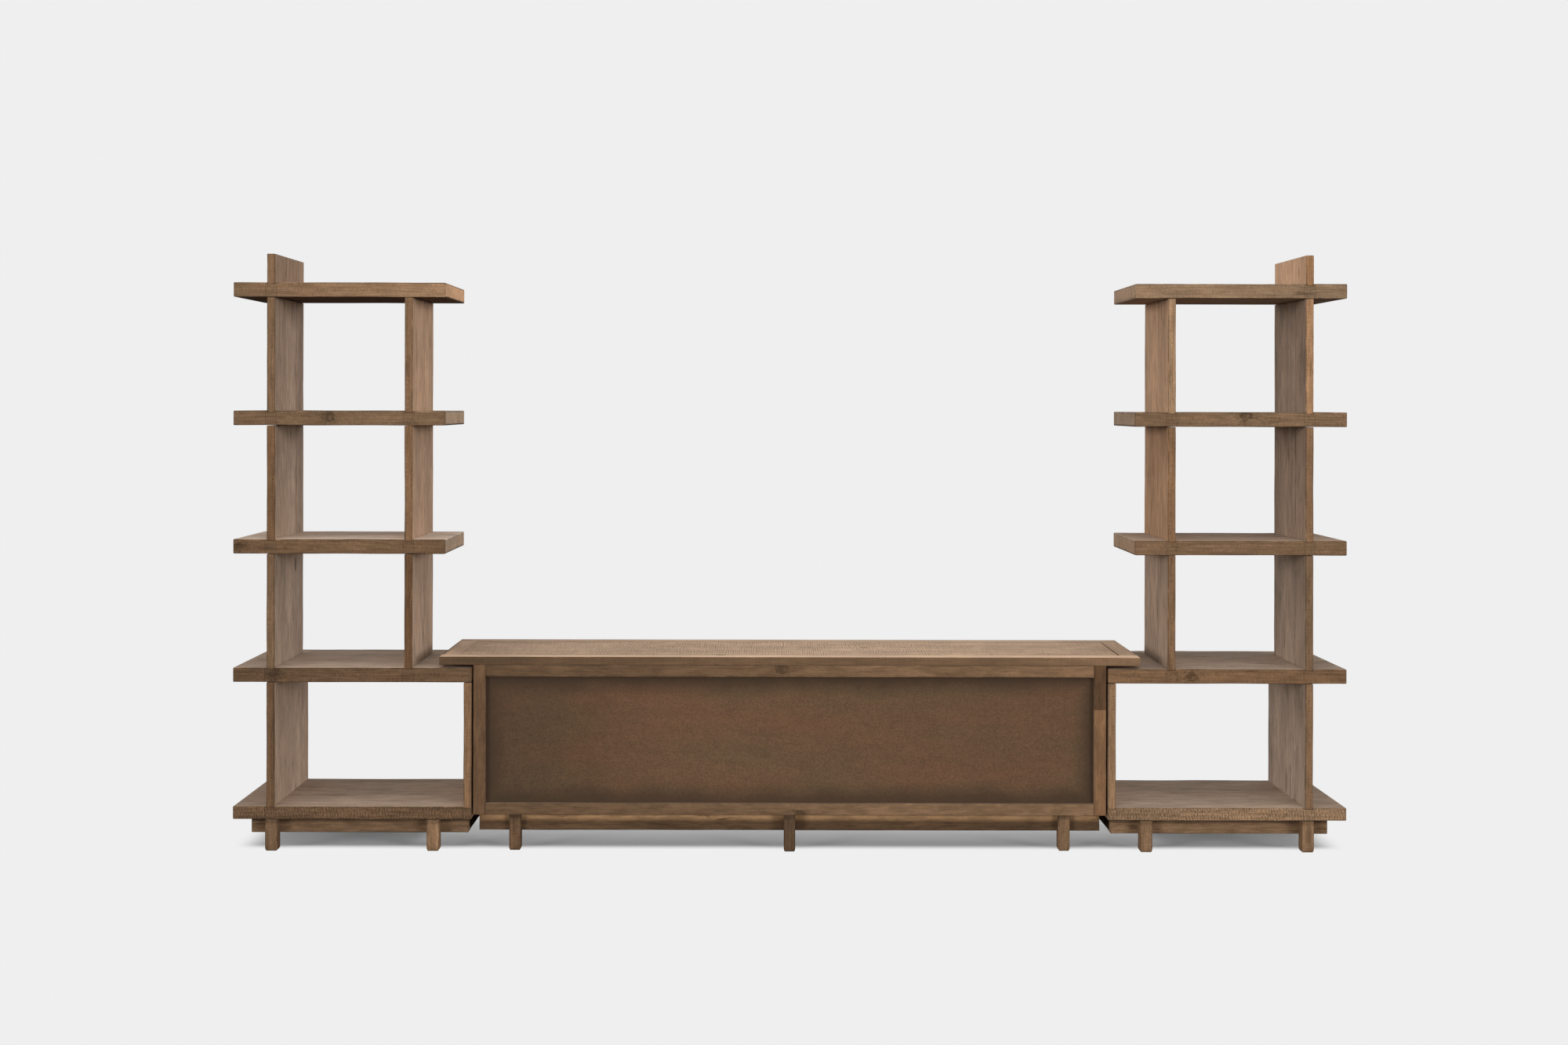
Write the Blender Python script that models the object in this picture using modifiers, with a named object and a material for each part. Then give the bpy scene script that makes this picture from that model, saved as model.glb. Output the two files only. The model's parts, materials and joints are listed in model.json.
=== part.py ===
"""Entertainment center: a low console with two doors and an open middle, between open bookcases.

The units stand side by side on the floor, Z = 0, with X = 0 in the middle of the console.
The flush backs of all three face -Y and the console's doors face +Y. Left is -X.
Lengths are in metres.
"""
import math

import bmesh
import bpy
from mathutils import Matrix, Vector

# Clearances
SEAT_GAP = 0.0003           # between two pieces that sit on, against or inside each other
OVERRUN = 0.003             # how far a cutter runs past the face that it opens
UNIT_GAP = 0.005            # air between the console and each bookcase
SLAB_OVER_SHELF = 0.009     # air between the top slab and the shelf that it reaches over
JOINT_STEP = 0.0003         # how far a glued member lies behind the face of the one that it joins

# Depths
UNIT_DEPTH = 0.430          # wide shelves and the console's top slab
UPPER_DEPTH = 0.360         # narrow shelves and the posts between them
BODY_DEPTH = 0.400          # console carcass, without the slab's front overhang

# Bookcase shelves, posts and bays
UPPER_BAYS = 3
WIDE_SHELF_WIDTH = 0.729
NARROW_SHELF_INSET = 0.0815  # narrow shelves end this much before the wide ones, at the console's side
SHELF_THICKNESS = 0.0455
BASE_SHELF_THICKNESS = 0.040
UPPER_BAY_HEIGHT = 0.3465
LOWER_BAY_HEIGHT = 0.378
STUB_HEIGHT = 0.087         # outer post above the top shelf
PLANK_THICKNESS = 0.025     # posts and side panel
HOUSING_DEPTH = 0.006       # how far uprights are let into the shelf that they stand on
OUTER_POST_INSET = 0.102    # outer posts, from the outer ends of the shelves
INNER_POST_INSET = 0.100    # inner posts, from the inner ends of the narrow shelves

# Bookcase base
BOOKCASE_BASE_HEIGHT = 0.0965
FOOT_SIZE = 0.038
FOOT_INSET = 0.099          # from the ends of the lowest shelf
FOOT_CHAMFER = 0.004
BOOKCASE_RAIL_HEIGHT = 0.0465
BOOKCASE_RAIL_RECESS = 0.030
BOOKCASE_RAIL_OUTER_INSET = 0.050
BOOKCASE_RAIL_INNER_INSET = 0.014
RAIL_THICKNESS = 0.022
RAIL_TENON = 0.008          # cross rails into long rails

# Console carcass
BODY_WIDTH = 1.932
SLAB_SIDE_OVERHANG = 0.104
SLAB_THICKNESS = 0.025
CONSOLE_BASE_HEIGHT = 0.1115
SIDE_THICKNESS = 0.037
DECK_THICKNESS = 0.036      # bottom deck and subtop
PARTITION_THICKNESS = 0.025
BACK_PANEL_RECESS = 0.011
BACK_PANEL_THICKNESS = 0.006
BACK_GROOVE_DEPTH = 0.008
INNER_SHELF_THICKNESS = 0.020
INNER_SHELF_SETBACK = 0.012  # behind the doors
DADO_DEPTH = 0.006
INNER_SHELF_HEIGHT_SHARE = 0.48

# Console base
LEG_SIZE = 0.036
LEG_CHAMFER = 0.004
OUTER_LEG_INSET = 0.108     # from the carcass's ends to the outer face of the outer legs
OUTER_LEG_SETBACK = 0.015
MIDDLE_LEG_LAP = 0.006      # middle legs let into the long rails
CONSOLE_RAIL_HEIGHT = 0.053
CONSOLE_RAIL_END_INSET = 0.015

# Doors
DOOR_GAP = 0.0025
DOOR_WIDTH = 0.520
DOOR_THICKNESS = 0.022
STILE_WIDTH = 0.062
DOOR_PANEL_THICKNESS = 0.008
DOOR_GROOVE_DEPTH = 0.010
DOOR_TENON = 0.020          # rails into stiles

# Knobs
KNOB_PROJECTION = 0.024
KNOB_RADIUS = 0.0145
KNOB_NECK_RADIUS = 0.0055
KNOB_ROSE_RADIUS = 0.0120
KNOB_ROSE_THICKNESS = 0.0025
KNOB_RIM_THICKNESS = 0.004
KNOB_STEPS = 24

# Butt hinges
HINGE_HEIGHT = 0.060
HINGE_END_DISTANCE = 0.042  # from the door's top and bottom edges
LEAF_REACH = 0.018          # from the pin's axis into the cabinet
LEAF_THICKNESS = 0.0014
LEAF_CLEARANCE = 0.0006     # between the two leaves of a closed hinge
BARREL_RADIUS = 0.0036
BARREL_CLEARANCE = 0.0006   # barrel to wood, and barrel to the other leaf
PIN_RADIUS = 0.0016
PIN_TIP_HEIGHT = 0.0035
KNUCKLES = 5                # odd ones, counted from 1, belong to the fixed leaf
KNUCKLE_GAP = 0.0005
BARREL_SIDES = 16

# Rounding of edges
BOARD_EDGE = 0.0022
THIN_EDGE = 0.0010

# Places that follow from the sizes above
BACK_Y = -UNIT_DEPTH / 2
BODY_FRONT_Y = BACK_Y + BODY_DEPTH
BOOKCASE_INNER_X = BODY_WIDTH / 2 + UNIT_GAP
BOOKCASE_OUTER_X = BOOKCASE_INNER_X + WIDE_SHELF_WIDTH
NARROW_INNER_X = BOOKCASE_INNER_X + NARROW_SHELF_INSET
BASE_SHELF_TOP = BOOKCASE_BASE_HEIGHT + BASE_SHELF_THICKNESS
TOP_WIDE_SHELF_TOP = BASE_SHELF_TOP + LOWER_BAY_HEIGHT + SHELF_THICKNESS
SLAB_BOTTOM = TOP_WIDE_SHELF_TOP + SLAB_OVER_SHELF
BODY_TOP = SLAB_BOTTOM - SEAT_GAP
DECK_TOP = CONSOLE_BASE_HEIGHT + DECK_THICKNESS
SUBTOP_BOTTOM = BODY_TOP - DECK_THICKNESS
INSIDE_X = BODY_WIDTH / 2 - SIDE_THICKNESS
BACK_PANEL_FRONT_Y = BACK_Y + BACK_PANEL_RECESS + BACK_PANEL_THICKNESS
DOOR_BACK_Y = BODY_FRONT_Y - DOOR_THICKNESS
DOOR_BOTTOM = DECK_TOP + DOOR_GAP
DOOR_TOP = SUBTOP_BOTTOM - DOOR_GAP
PARTITION_OUTER_X = INSIDE_X - DOOR_WIDTH - 2 * DOOR_GAP
PARTITION_INNER_X = PARTITION_OUTER_X - PARTITION_THICKNESS
CONSOLE_RAIL_RECESS = LEG_SIZE - MIDDLE_LEG_LAP
HINGE_AXIS_Y = BODY_FRONT_Y + BARREL_RADIUS + BARREL_CLEARANCE

# Finishes: colour (linear), roughness, metallic
PINE = ("reclaimed_pine", (0.235, 0.140, 0.083), 0.80, 0.0)
PLANK_PINE = ("weathered_plank", (0.205, 0.150, 0.112), 0.85, 0.0)
SLAB_PINE = ("top_slab_pine", (0.380, 0.240, 0.155), 0.78, 0.0)
BACK_PINE = ("stained_back_panel", (0.115, 0.070, 0.042), 0.72, 0.0)
IRON = ("dark_iron", (0.035, 0.030, 0.027), 0.45, 1.0)


def clear_scene():
    """Remove what the scene holds."""
    for item in list(bpy.data.objects):
        bpy.data.objects.remove(item, do_unlink=True)


def make_collection(name, visible):
    """A collection in the scene; the cutters' one is kept out of view."""
    collection = bpy.data.collections.new(name)
    bpy.context.scene.collection.children.link(collection)
    collection.hide_render = not visible
    return collection


def make_finish(finish):
    """Principled material of a finish."""
    name, colour, roughness, metallic = finish
    material = bpy.data.materials.get(name)
    if material is None:
        material = bpy.data.materials.new(name)
        material.use_nodes = True
        shader = material.node_tree.nodes["Principled BSDF"]
        shader.inputs["Base Color"].default_value = (*colour, 1.0)
        shader.inputs["Roughness"].default_value = roughness
        shader.inputs["Metallic"].default_value = metallic
    return material


def new_object(name, mesh, location, parent):
    """An object among the parts, at a world location, under an empty that isn't turned."""
    piece = bpy.data.objects.new(name, mesh)
    PARTS.objects.link(piece)
    piece.parent = parent
    piece.location = Vector(location) - (parent.location if parent else Vector())
    return piece


def guide(name, location):
    """Empty that carries a unit or marks a joint's axis."""
    empty = bpy.data.objects.new(name, None)
    PARTS.objects.link(empty)
    empty.location = location
    return empty


def box_mesh(name, size):
    """Box of a size about its middle."""
    shape = bmesh.new()
    bmesh.ops.create_cube(shape, size=1.0)
    bmesh.ops.scale(shape, vec=Vector(size), verts=shape.verts)
    mesh = bpy.data.meshes.new(name)
    shape.to_mesh(mesh)
    shape.free()
    return mesh


def corners(x_ends, y_ends, z_ends):
    """Lowest and highest corner of the box between three pairs of ends, in any order."""
    ends = [sorted(pair) for pair in (x_ends, y_ends, z_ends)]
    return Vector([pair[0] for pair in ends]), Vector([pair[1] for pair in ends])


def round_edges(piece, width, segments=1):
    """Ease a piece's sharp edges."""
    bevel = piece.modifiers.new("eased_edges", "BEVEL")
    bevel.width = width
    bevel.segments = segments
    bevel.limit_method = "ANGLE"
    bevel.angle_limit = math.radians(50)


def board(name, box, finish, parent, edge=BOARD_EDGE, segments=1):
    """Board with eased edges that fills a box."""
    low, high = box
    mesh = box_mesh(name, high - low)
    mesh.materials.append(make_finish(finish))
    piece = new_object(name, mesh, (low + high) / 2, parent)
    if edge:
        round_edges(piece, edge, segments)
    return piece


def hidden_object(name, mesh, location):
    """An object that only cuts or joins others, out of view."""
    tool = bpy.data.objects.new(name, mesh)
    HIDDEN.objects.link(tool)
    tool.location = location
    tool.hide_render = True
    tool.display_type = "WIRE"
    return tool


def member(name, box, finish, edge=BOARD_EDGE):
    """Hidden board with eased edges, to be glued to another."""
    low, high = box
    mesh = box_mesh(name, high - low)
    mesh.materials.append(make_finish(finish))
    piece = hidden_object(name, mesh, (low + high) / 2)
    if edge:
        round_edges(piece, edge)
    return piece


def grown(box, gap):
    """A box made larger by a gap on every side."""
    low, high = box
    margin = Vector((gap, gap, gap))
    return low - margin, high + margin


def box_cutter(name, box):
    """Hidden box that cuts other pieces."""
    low, high = box
    return hidden_object(name, box_mesh(name, high - low), (low + high) / 2)


def carve(piece, cutter):
    """Cut a piece with a cutter."""
    cut = piece.modifiers.new("cut_" + cutter.name, "BOOLEAN")
    cut.operation = "DIFFERENCE"
    cut.solver = "EXACT"
    cut.object = cutter


def glue(piece, member):
    """Join a hidden member to the piece that carries it."""
    joint = piece.modifiers.new("glued_" + member.name, "BOOLEAN")
    joint.operation = "UNION"
    joint.solver = "EXACT"
    joint.object = member


def bay_levels():
    """(bottom, top) heights of the shelves, from the top shelf down to the one on the feet."""
    levels = [(BOOKCASE_BASE_HEIGHT, BASE_SHELF_TOP)]
    for bay in [LOWER_BAY_HEIGHT] + [UPPER_BAY_HEIGHT] * UPPER_BAYS:
        bottom = levels[-1][1] + bay
        levels.append((bottom, bottom + SHELF_THICKNESS))
    return levels[::-1]


def make_shelves(unit, side, parent):
    """Shelves, counted from the top: those over the upper bays are narrow and less deep."""
    shelves = []
    for number, (bottom, top) in enumerate(bay_levels(), start=1):
        narrow = number <= UPPER_BAYS
        inner = NARROW_INNER_X if narrow else BOOKCASE_INNER_X
        depth = UPPER_DEPTH if narrow else UNIT_DEPTH
        box = corners((side * inner, side * BOOKCASE_OUTER_X), (BACK_Y, BACK_Y + depth), (bottom, top))
        shelves.append(board(f"{unit}_shelf_{number}", box, PINE, parent, segments=2))
    return shelves


def upright(name, side, inner_face, top, depth, shelf_top, shelf, parent):
    """Plank on edge, housed in its shelf, whose face at the console's side is at inner_face."""
    x_ends = (side * inner_face, side * (inner_face + PLANK_THICKNESS))
    box = corners(x_ends, (BACK_Y, BACK_Y + depth), (shelf_top - HOUSING_DEPTH + SEAT_GAP, top))
    board(name, box, PLANK_PINE, parent)
    carve(shelf, box_cutter(f"{name}_housing", grown(box, SEAT_GAP)))


def make_uprights(unit, side, shelves, parent):
    """Posts between the shelves, the stub on top and the side panel in the lowest bay."""
    levels = bay_levels()
    outer_face = BOOKCASE_OUTER_X - OUTER_POST_INSET - PLANK_THICKNESS
    inner_face = NARROW_INNER_X + INNER_POST_INSET
    shelf_top = levels[0][1]
    upright(f"{unit}_outer_post_stub", side, outer_face, shelf_top + STUB_HEIGHT, UPPER_DEPTH,
            shelf_top, shelves[0], parent)
    for number in range(1, len(levels)):
        top = levels[number - 1][0] - SEAT_GAP
        upper = number <= UPPER_BAYS
        seat = (top, UPPER_DEPTH if upper else UNIT_DEPTH, levels[number][1], shelves[number], parent)
        upright(f"{unit}_outer_post_{number}", side, outer_face, *seat)
        if upper:
            upright(f"{unit}_inner_post_{number}", side, inner_face, *seat)
        else:
            upright(f"{unit}_side_panel", side, BOOKCASE_INNER_X, *seat)


def block_foot(name, x_ends, y_ends, top, chamfer):
    """Square block on the floor with its four lower edges chamfered."""
    foot = member(name, corners(x_ends, y_ends, (0, top)), PINE, edge=0)
    shape = bmesh.new()
    shape.from_mesh(foot.data)
    lower = [edge for edge in shape.edges if all(vert.co.z < 0 for vert in edge.verts)]
    bmesh.ops.bevel(shape, geom=lower, offset=chamfer, segments=1, affect="EDGES")
    shape.to_mesh(foot.data)
    shape.free()
    round_edges(foot, THIN_EDGE)
    return foot


def base_frame(name, x_ends, y_ends, z_ends, cross_xs, parent):
    """Two long rails along X, joined by cross rails that start at the places in cross_xs."""
    back, front = y_ends
    first = corners(x_ends, (back, back + RAIL_THICKNESS), z_ends)
    frame = board(name, first, PINE, parent)
    second = corners(x_ends, (front - RAIL_THICKNESS, front), z_ends)
    cross_members = []
    tenoned = (back + RAIL_THICKNESS - RAIL_TENON, front - RAIL_THICKNESS + RAIL_TENON)
    heights = (z_ends[0] + JOINT_STEP, z_ends[1] - JOINT_STEP)
    for number, start in enumerate(cross_xs):
        box = corners((start, start + RAIL_THICKNESS), tenoned, heights)
        cross_members.append(member(f"{name}_cross_{number}", box, PINE))
    for cross in cross_members:
        glue(frame, cross)
    glue(frame, member(f"{name}_long", second, PINE))
    return frame


def make_bookcase_base(unit, side, parent):
    """Ring of rails under the lowest shelf, with four feet lapped over its long rails."""
    top = BOOKCASE_BASE_HEIGHT - SEAT_GAP
    ends = sorted((side * (BOOKCASE_INNER_X + BOOKCASE_RAIL_INNER_INSET),
                   side * (BOOKCASE_OUTER_X - BOOKCASE_RAIL_OUTER_INSET)))
    y_ends = (BACK_Y + BOOKCASE_RAIL_RECESS, -BACK_Y - BOOKCASE_RAIL_RECESS)
    z_ends = (top - BOOKCASE_RAIL_HEIGHT, top)
    cross_xs = (ends[0] + JOINT_STEP, ends[1] - RAIL_THICKNESS - JOINT_STEP)
    frame = base_frame(f"{unit}_base", ends, y_ends, z_ends, cross_xs, parent)
    starts = (BOOKCASE_INNER_X + FOOT_INSET, BOOKCASE_OUTER_X - FOOT_INSET - FOOT_SIZE)
    for column, start in enumerate(starts):
        x_ends = (side * start, side * (start + FOOT_SIZE))
        for row, y in enumerate((BACK_Y, -BACK_Y - FOOT_SIZE)):
            name = f"{unit}_foot_{column}_{row}"
            glue(frame, block_foot(name, x_ends, (y, y + FOOT_SIZE), top - JOINT_STEP, FOOT_CHAMFER))


def make_bookcase(unit, side):
    """One bookcase: side is -1 at the left of the console and +1 at its right."""
    parent = guide(f"{unit}_unit", (side * BOOKCASE_INNER_X, 0, 0))
    shelves = make_shelves(unit, side, parent)
    make_uprights(unit, side, shelves, parent)
    make_bookcase_base(unit, side, parent)


def make_carcass(parent):
    """Sides, decks, partitions, back panel and top slab of the console."""
    y_ends = (BACK_Y, BODY_FRONT_Y)
    half = BODY_WIDTH / 2
    carcass = {}
    inside = (-INSIDE_X + SEAT_GAP, INSIDE_X - SEAT_GAP)
    box = corners(inside, y_ends, (CONSOLE_BASE_HEIGHT, DECK_TOP))
    carcass["deck"] = board("console_bottom_deck", box, PINE, parent)
    box = corners(inside, y_ends, (SUBTOP_BOTTOM, BODY_TOP))
    carcass["subtop"] = board("console_subtop", box, PINE, parent)
    for side, word in ((-1, "left"), (1, "right")):
        box = corners((side * INSIDE_X, side * half), y_ends, (CONSOLE_BASE_HEIGHT, BODY_TOP))
        carcass[f"side_{word}"] = board(f"console_side_{word}", box, PINE, parent)
        box = corners((side * PARTITION_INNER_X, side * PARTITION_OUTER_X),
                      (BACK_PANEL_FRONT_Y + SEAT_GAP, BODY_FRONT_Y),
                      (DECK_TOP + SEAT_GAP, SUBTOP_BOTTOM - SEAT_GAP))
        carcass[f"partition_{word}"] = board(f"console_partition_{word}", box, PINE, parent, THIN_EDGE)
    make_back_panel(carcass, parent)
    slab_half = half + SLAB_SIDE_OVERHANG
    box = corners((-slab_half, slab_half), (BACK_Y, -BACK_Y), (SLAB_BOTTOM, SLAB_BOTTOM + SLAB_THICKNESS))
    board("console_top_slab", box, SLAB_PINE, parent, segments=2)
    return carcass


def make_back_panel(carcass, parent):
    """Thin panel whose four edges lie in grooves of the carcass."""
    reach = BACK_GROOVE_DEPTH - SEAT_GAP
    box = corners((-INSIDE_X - reach, INSIDE_X + reach),
                  (BACK_Y + BACK_PANEL_RECESS, BACK_PANEL_FRONT_Y),
                  (DECK_TOP - reach, SUBTOP_BOTTOM + reach))
    board("console_back_panel", box, BACK_PINE, parent, edge=0)
    groove = box_cutter("back_panel_groove", grown(box, SEAT_GAP))
    for holder in ("side_left", "side_right", "deck", "subtop"):
        carve(carcass[holder], groove)


def make_inner_shelves(carcass, parent):
    """A shelf in each compartment, its ends let into dados in the sides and partitions."""
    height = DECK_TOP + INNER_SHELF_HEIGHT_SHARE * (SUBTOP_BOTTOM - DECK_TOP)
    z_ends = (height - INNER_SHELF_THICKNESS / 2, height + INNER_SHELF_THICKNESS / 2)
    y_ends = (BACK_PANEL_FRONT_Y + SEAT_GAP, DOOR_BACK_Y - INNER_SHELF_SETBACK)
    reach = DADO_DEPTH - SEAT_GAP
    bays = (
        ("left", -INSIDE_X - reach, -PARTITION_OUTER_X + reach, "side_left", "partition_left"),
        ("middle", -PARTITION_INNER_X - reach, PARTITION_INNER_X + reach, "partition_left", "partition_right"),
        ("right", PARTITION_OUTER_X - reach, INSIDE_X + reach, "partition_right", "side_right"),
    )
    for word, start, end, *holders in bays:
        box = corners((start, end), y_ends, z_ends)
        board(f"console_inner_shelf_{word}", box, PINE, parent, THIN_EDGE)
        dado = box_cutter(f"inner_shelf_dado_{word}", grown(box, SEAT_GAP))
        for holder in holders:
            carve(carcass[holder], dado)


def make_console_base(parent):
    """Rails under the deck and six legs; the four at the corners are lapped over the long rails."""
    top = CONSOLE_BASE_HEIGHT - SEAT_GAP
    rail_half = BODY_WIDTH / 2 - CONSOLE_RAIL_END_INSET
    ends = (-rail_half, rail_half)
    y_ends = (BACK_Y + CONSOLE_RAIL_RECESS, BODY_FRONT_Y - CONSOLE_RAIL_RECESS)
    z_ends = (top - CONSOLE_RAIL_HEIGHT, top)
    cross_xs = (-rail_half + JOINT_STEP, -RAIL_THICKNESS / 2, rail_half - RAIL_THICKNESS - JOINT_STEP)
    frame = base_frame("console_base", ends, y_ends, z_ends, cross_xs, parent)
    outer_start = BODY_WIDTH / 2 - OUTER_LEG_INSET - LEG_SIZE
    places = (
        (-outer_start - LEG_SIZE, OUTER_LEG_SETBACK),
        (-LEG_SIZE / 2, 0),
        (outer_start, OUTER_LEG_SETBACK),
    )
    for column, (x, setback) in enumerate(places):
        for row, y in enumerate((BACK_Y + setback, BODY_FRONT_Y - setback - LEG_SIZE)):
            name = f"console_leg_{column}_{row}"
            ends_y = (y, y + LEG_SIZE)
            glue(frame, block_foot(name, (x, x + LEG_SIZE), ends_y, top - JOINT_STEP, LEG_CHAMFER))


def make_door_frame(name, low_x, axis, groove):
    """Two stiles and two rails, tenoned and glued, with a groove for the panel round the opening."""
    y_ends = (DOOR_BACK_Y, BODY_FRONT_Y)
    high_x = low_x + DOOR_WIDTH
    stile_box = corners((low_x, low_x + STILE_WIDTH), y_ends, (DOOR_BOTTOM, DOOR_TOP))
    frame = board(f"{name}_frame", stile_box, PINE, axis, THIN_EDGE)
    rail_xs = (low_x + STILE_WIDTH - DOOR_TENON, high_x - STILE_WIDTH + DOOR_TENON)
    rail_ys = (DOOR_BACK_Y + JOINT_STEP, BODY_FRONT_Y - JOINT_STEP)
    for number, z in enumerate((DOOR_BOTTOM + JOINT_STEP, DOOR_TOP - STILE_WIDTH)):
        box = corners(rail_xs, rail_ys, (z, z + STILE_WIDTH - JOINT_STEP))
        glue(frame, member(f"{name}_rail_{number}", box, PINE, THIN_EDGE))
    far_box = corners((high_x - STILE_WIDTH, high_x), y_ends, (DOOR_BOTTOM, DOOR_TOP))
    glue(frame, member(f"{name}_far_stile", far_box, PINE, THIN_EDGE))
    carve(frame, box_cutter(f"{name}_panel_groove", groove))
    return frame


def turned(name, profile, steps, location, parent):
    """Solid turned about its own Z axis, from a profile that runs top to bottom."""
    shape = bmesh.new()
    points = [shape.verts.new((radius, 0, height)) for radius, height in profile]
    for first, second in zip(points, points[1:]):
        shape.edges.new((first, second))
    mesh = bpy.data.meshes.new(name)
    shape.to_mesh(mesh)
    shape.free()
    mesh.materials.append(make_finish(IRON))
    piece = new_object(name, mesh, location, parent)
    screw = piece.modifiers.new("turned", "SCREW")
    screw.axis = "Z"
    screw.steps = steps
    screw.render_steps = steps
    screw.use_merge_vertices = True
    screw.merge_threshold = 0.00001
    screw.use_smooth_shade = True
    return piece


def make_knob(name, x, z, parent):
    """Turned knob on a round rose, standing on the door's front face."""
    rim = KNOB_PROJECTION - KNOB_RIM_THICKNESS
    crown_shares = ((0.0, 0.0), (0.55, 0.18), (0.88, 0.55), (1.0, 1.0), (0.92, 1.5))
    profile = [(KNOB_RADIUS * reach_share, KNOB_PROJECTION - KNOB_RIM_THICKNESS * fall_share)
               for reach_share, fall_share in crown_shares]
    profile += [
        (KNOB_NECK_RADIUS, rim - KNOB_RIM_THICKNESS),
        (KNOB_NECK_RADIUS, 2 * KNOB_ROSE_THICKNESS),
        (KNOB_ROSE_RADIUS - KNOB_ROSE_THICKNESS, KNOB_ROSE_THICKNESS),
        (KNOB_ROSE_RADIUS, KNOB_ROSE_THICKNESS / 2),
        (KNOB_ROSE_RADIUS, 0),
        (0, 0),
    ]
    knob = turned(name, profile, KNOB_STEPS, (x, BODY_FRONT_Y + SEAT_GAP, z), parent)
    knob.rotation_euler = (-math.radians(90), 0, 0)
    return knob


def knuckle_spans(fixed):
    """Height ranges of a leaf's own knuckles, from the hinge's lower end."""
    pitch = HINGE_HEIGHT / KNUCKLES
    spans = []
    for number in range(KNUCKLES):
        if (number % 2 == 0) == fixed:
            spans.append((number * pitch + KNUCKLE_GAP / 2, (number + 1) * pitch - KNUCKLE_GAP / 2))
    return spans


def leaf_outline(fixed):
    """Comb outline of a leaf: into the cabinet along -X, height along Y, tabs up to the pin's axis."""
    near = -BARREL_RADIUS - BARREL_CLEARANCE
    points = [(near, HINGE_HEIGHT), (-LEAF_REACH, HINGE_HEIGHT), (-LEAF_REACH, 0), (near, 0)]
    for low, high in knuckle_spans(fixed):
        tab_low, tab_high = low + JOINT_STEP, high - JOINT_STEP
        points += [(near, tab_low), (0, tab_low), (0, tab_high), (near, tab_high)]
    return points


def outline_plate(name, outline, thickness):
    """Flat plate from an outline in its own XY plane, as a closed mesh about Z = 0."""
    curve = bpy.data.curves.new(name, "CURVE")
    curve.dimensions = "2D"
    curve.fill_mode = "BOTH"
    curve.extrude = thickness / 2
    spline = curve.splines.new("POLY")
    spline.points.add(len(outline) - 1)
    for point, (x, y) in zip(spline.points, outline):
        point.co = (x, y, 0, 1)
    spline.use_cyclic_u = True
    flat = bpy.data.objects.new(name, curve)
    PARTS.objects.link(flat)
    bpy.context.view_layer.update()
    graph = bpy.context.evaluated_depsgraph_get()
    mesh = bpy.data.meshes.new_from_object(flat.evaluated_get(graph))
    bpy.data.objects.remove(flat, do_unlink=True)
    shape = bmesh.new()
    shape.from_mesh(mesh)
    bmesh.ops.remove_doubles(shape, verts=shape.verts, dist=0.00001)
    bmesh.ops.recalc_face_normals(shape, faces=shape.faces)
    shape.to_mesh(mesh)
    shape.free()
    return mesh


def rod(name, spans, radius, location):
    """Hidden cylinders about one vertical axis, one for each height range."""
    shape = bmesh.new()
    for low, high in spans:
        middle = Matrix.Translation((0, 0, (low + high) / 2))
        bmesh.ops.create_cone(shape, cap_ends=True, segments=BARREL_SIDES, radius1=radius,
                              radius2=radius, depth=high - low, matrix=middle)
    mesh = bpy.data.meshes.new(name)
    shape.to_mesh(mesh)
    shape.free()
    return hidden_object(name, mesh, location)


def make_leaf(name, fixed, side, x, z, parent):
    """Hinge leaf: a comb-shaped plate with rolled knuckles; side is where its plate lies from the axis."""
    mesh = outline_plate(name, leaf_outline(fixed), LEAF_THICKNESS)
    plate_x = side * (LEAF_CLEARANCE + LEAF_THICKNESS) / 2
    mesh.transform(Matrix(((0, 0, 1, plate_x), (1, 0, 0, 0), (0, 1, 0, 0), (0, 0, 0, 1))))
    mesh.materials.append(make_finish(IRON))
    place = (x, HINGE_AXIS_Y, z)
    leaf = new_object(name, mesh, place, parent)
    glue(leaf, rod(f"{name}_knuckles", knuckle_spans(fixed), BARREL_RADIUS, place))
    bore_span = (-OVERRUN, HINGE_HEIGHT + OVERRUN)
    carve(leaf, rod(f"{name}_bore", [bore_span], PIN_RADIUS + SEAT_GAP, place))
    return leaf


def make_pin(name, x, z, parent):
    """Hinge pin with a domed tip at both ends, as wide as the barrel."""
    half = HINGE_HEIGHT / 2 + SEAT_GAP
    tip_shares = ((0.0, 1.0), (0.55, 0.85), (0.9, 0.45), (1.0, 0.0))
    upper = [(BARREL_RADIUS * reach_share, half + PIN_TIP_HEIGHT * rise_share)
             for reach_share, rise_share in tip_shares]
    upper.append((PIN_RADIUS, half))
    lower = [(radius, -height) for radius, height in reversed(upper)]
    return turned(name, upper + lower, BARREL_SIDES, (x, HINGE_AXIS_Y, z + HINGE_HEIGHT / 2), parent)


def gain_cutter(name, side, x, z):
    """Shallow seat for a leaf in the wood beside it."""
    x_ends = (x, x + side * (LEAF_CLEARANCE / 2 + LEAF_THICKNESS))
    y_ends = (HINGE_AXIS_Y - LEAF_REACH, BODY_FRONT_Y + OVERRUN)
    return box_cutter(name, grown(corners(x_ends, y_ends, (z, z + HINGE_HEIGHT)), SEAT_GAP))


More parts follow.
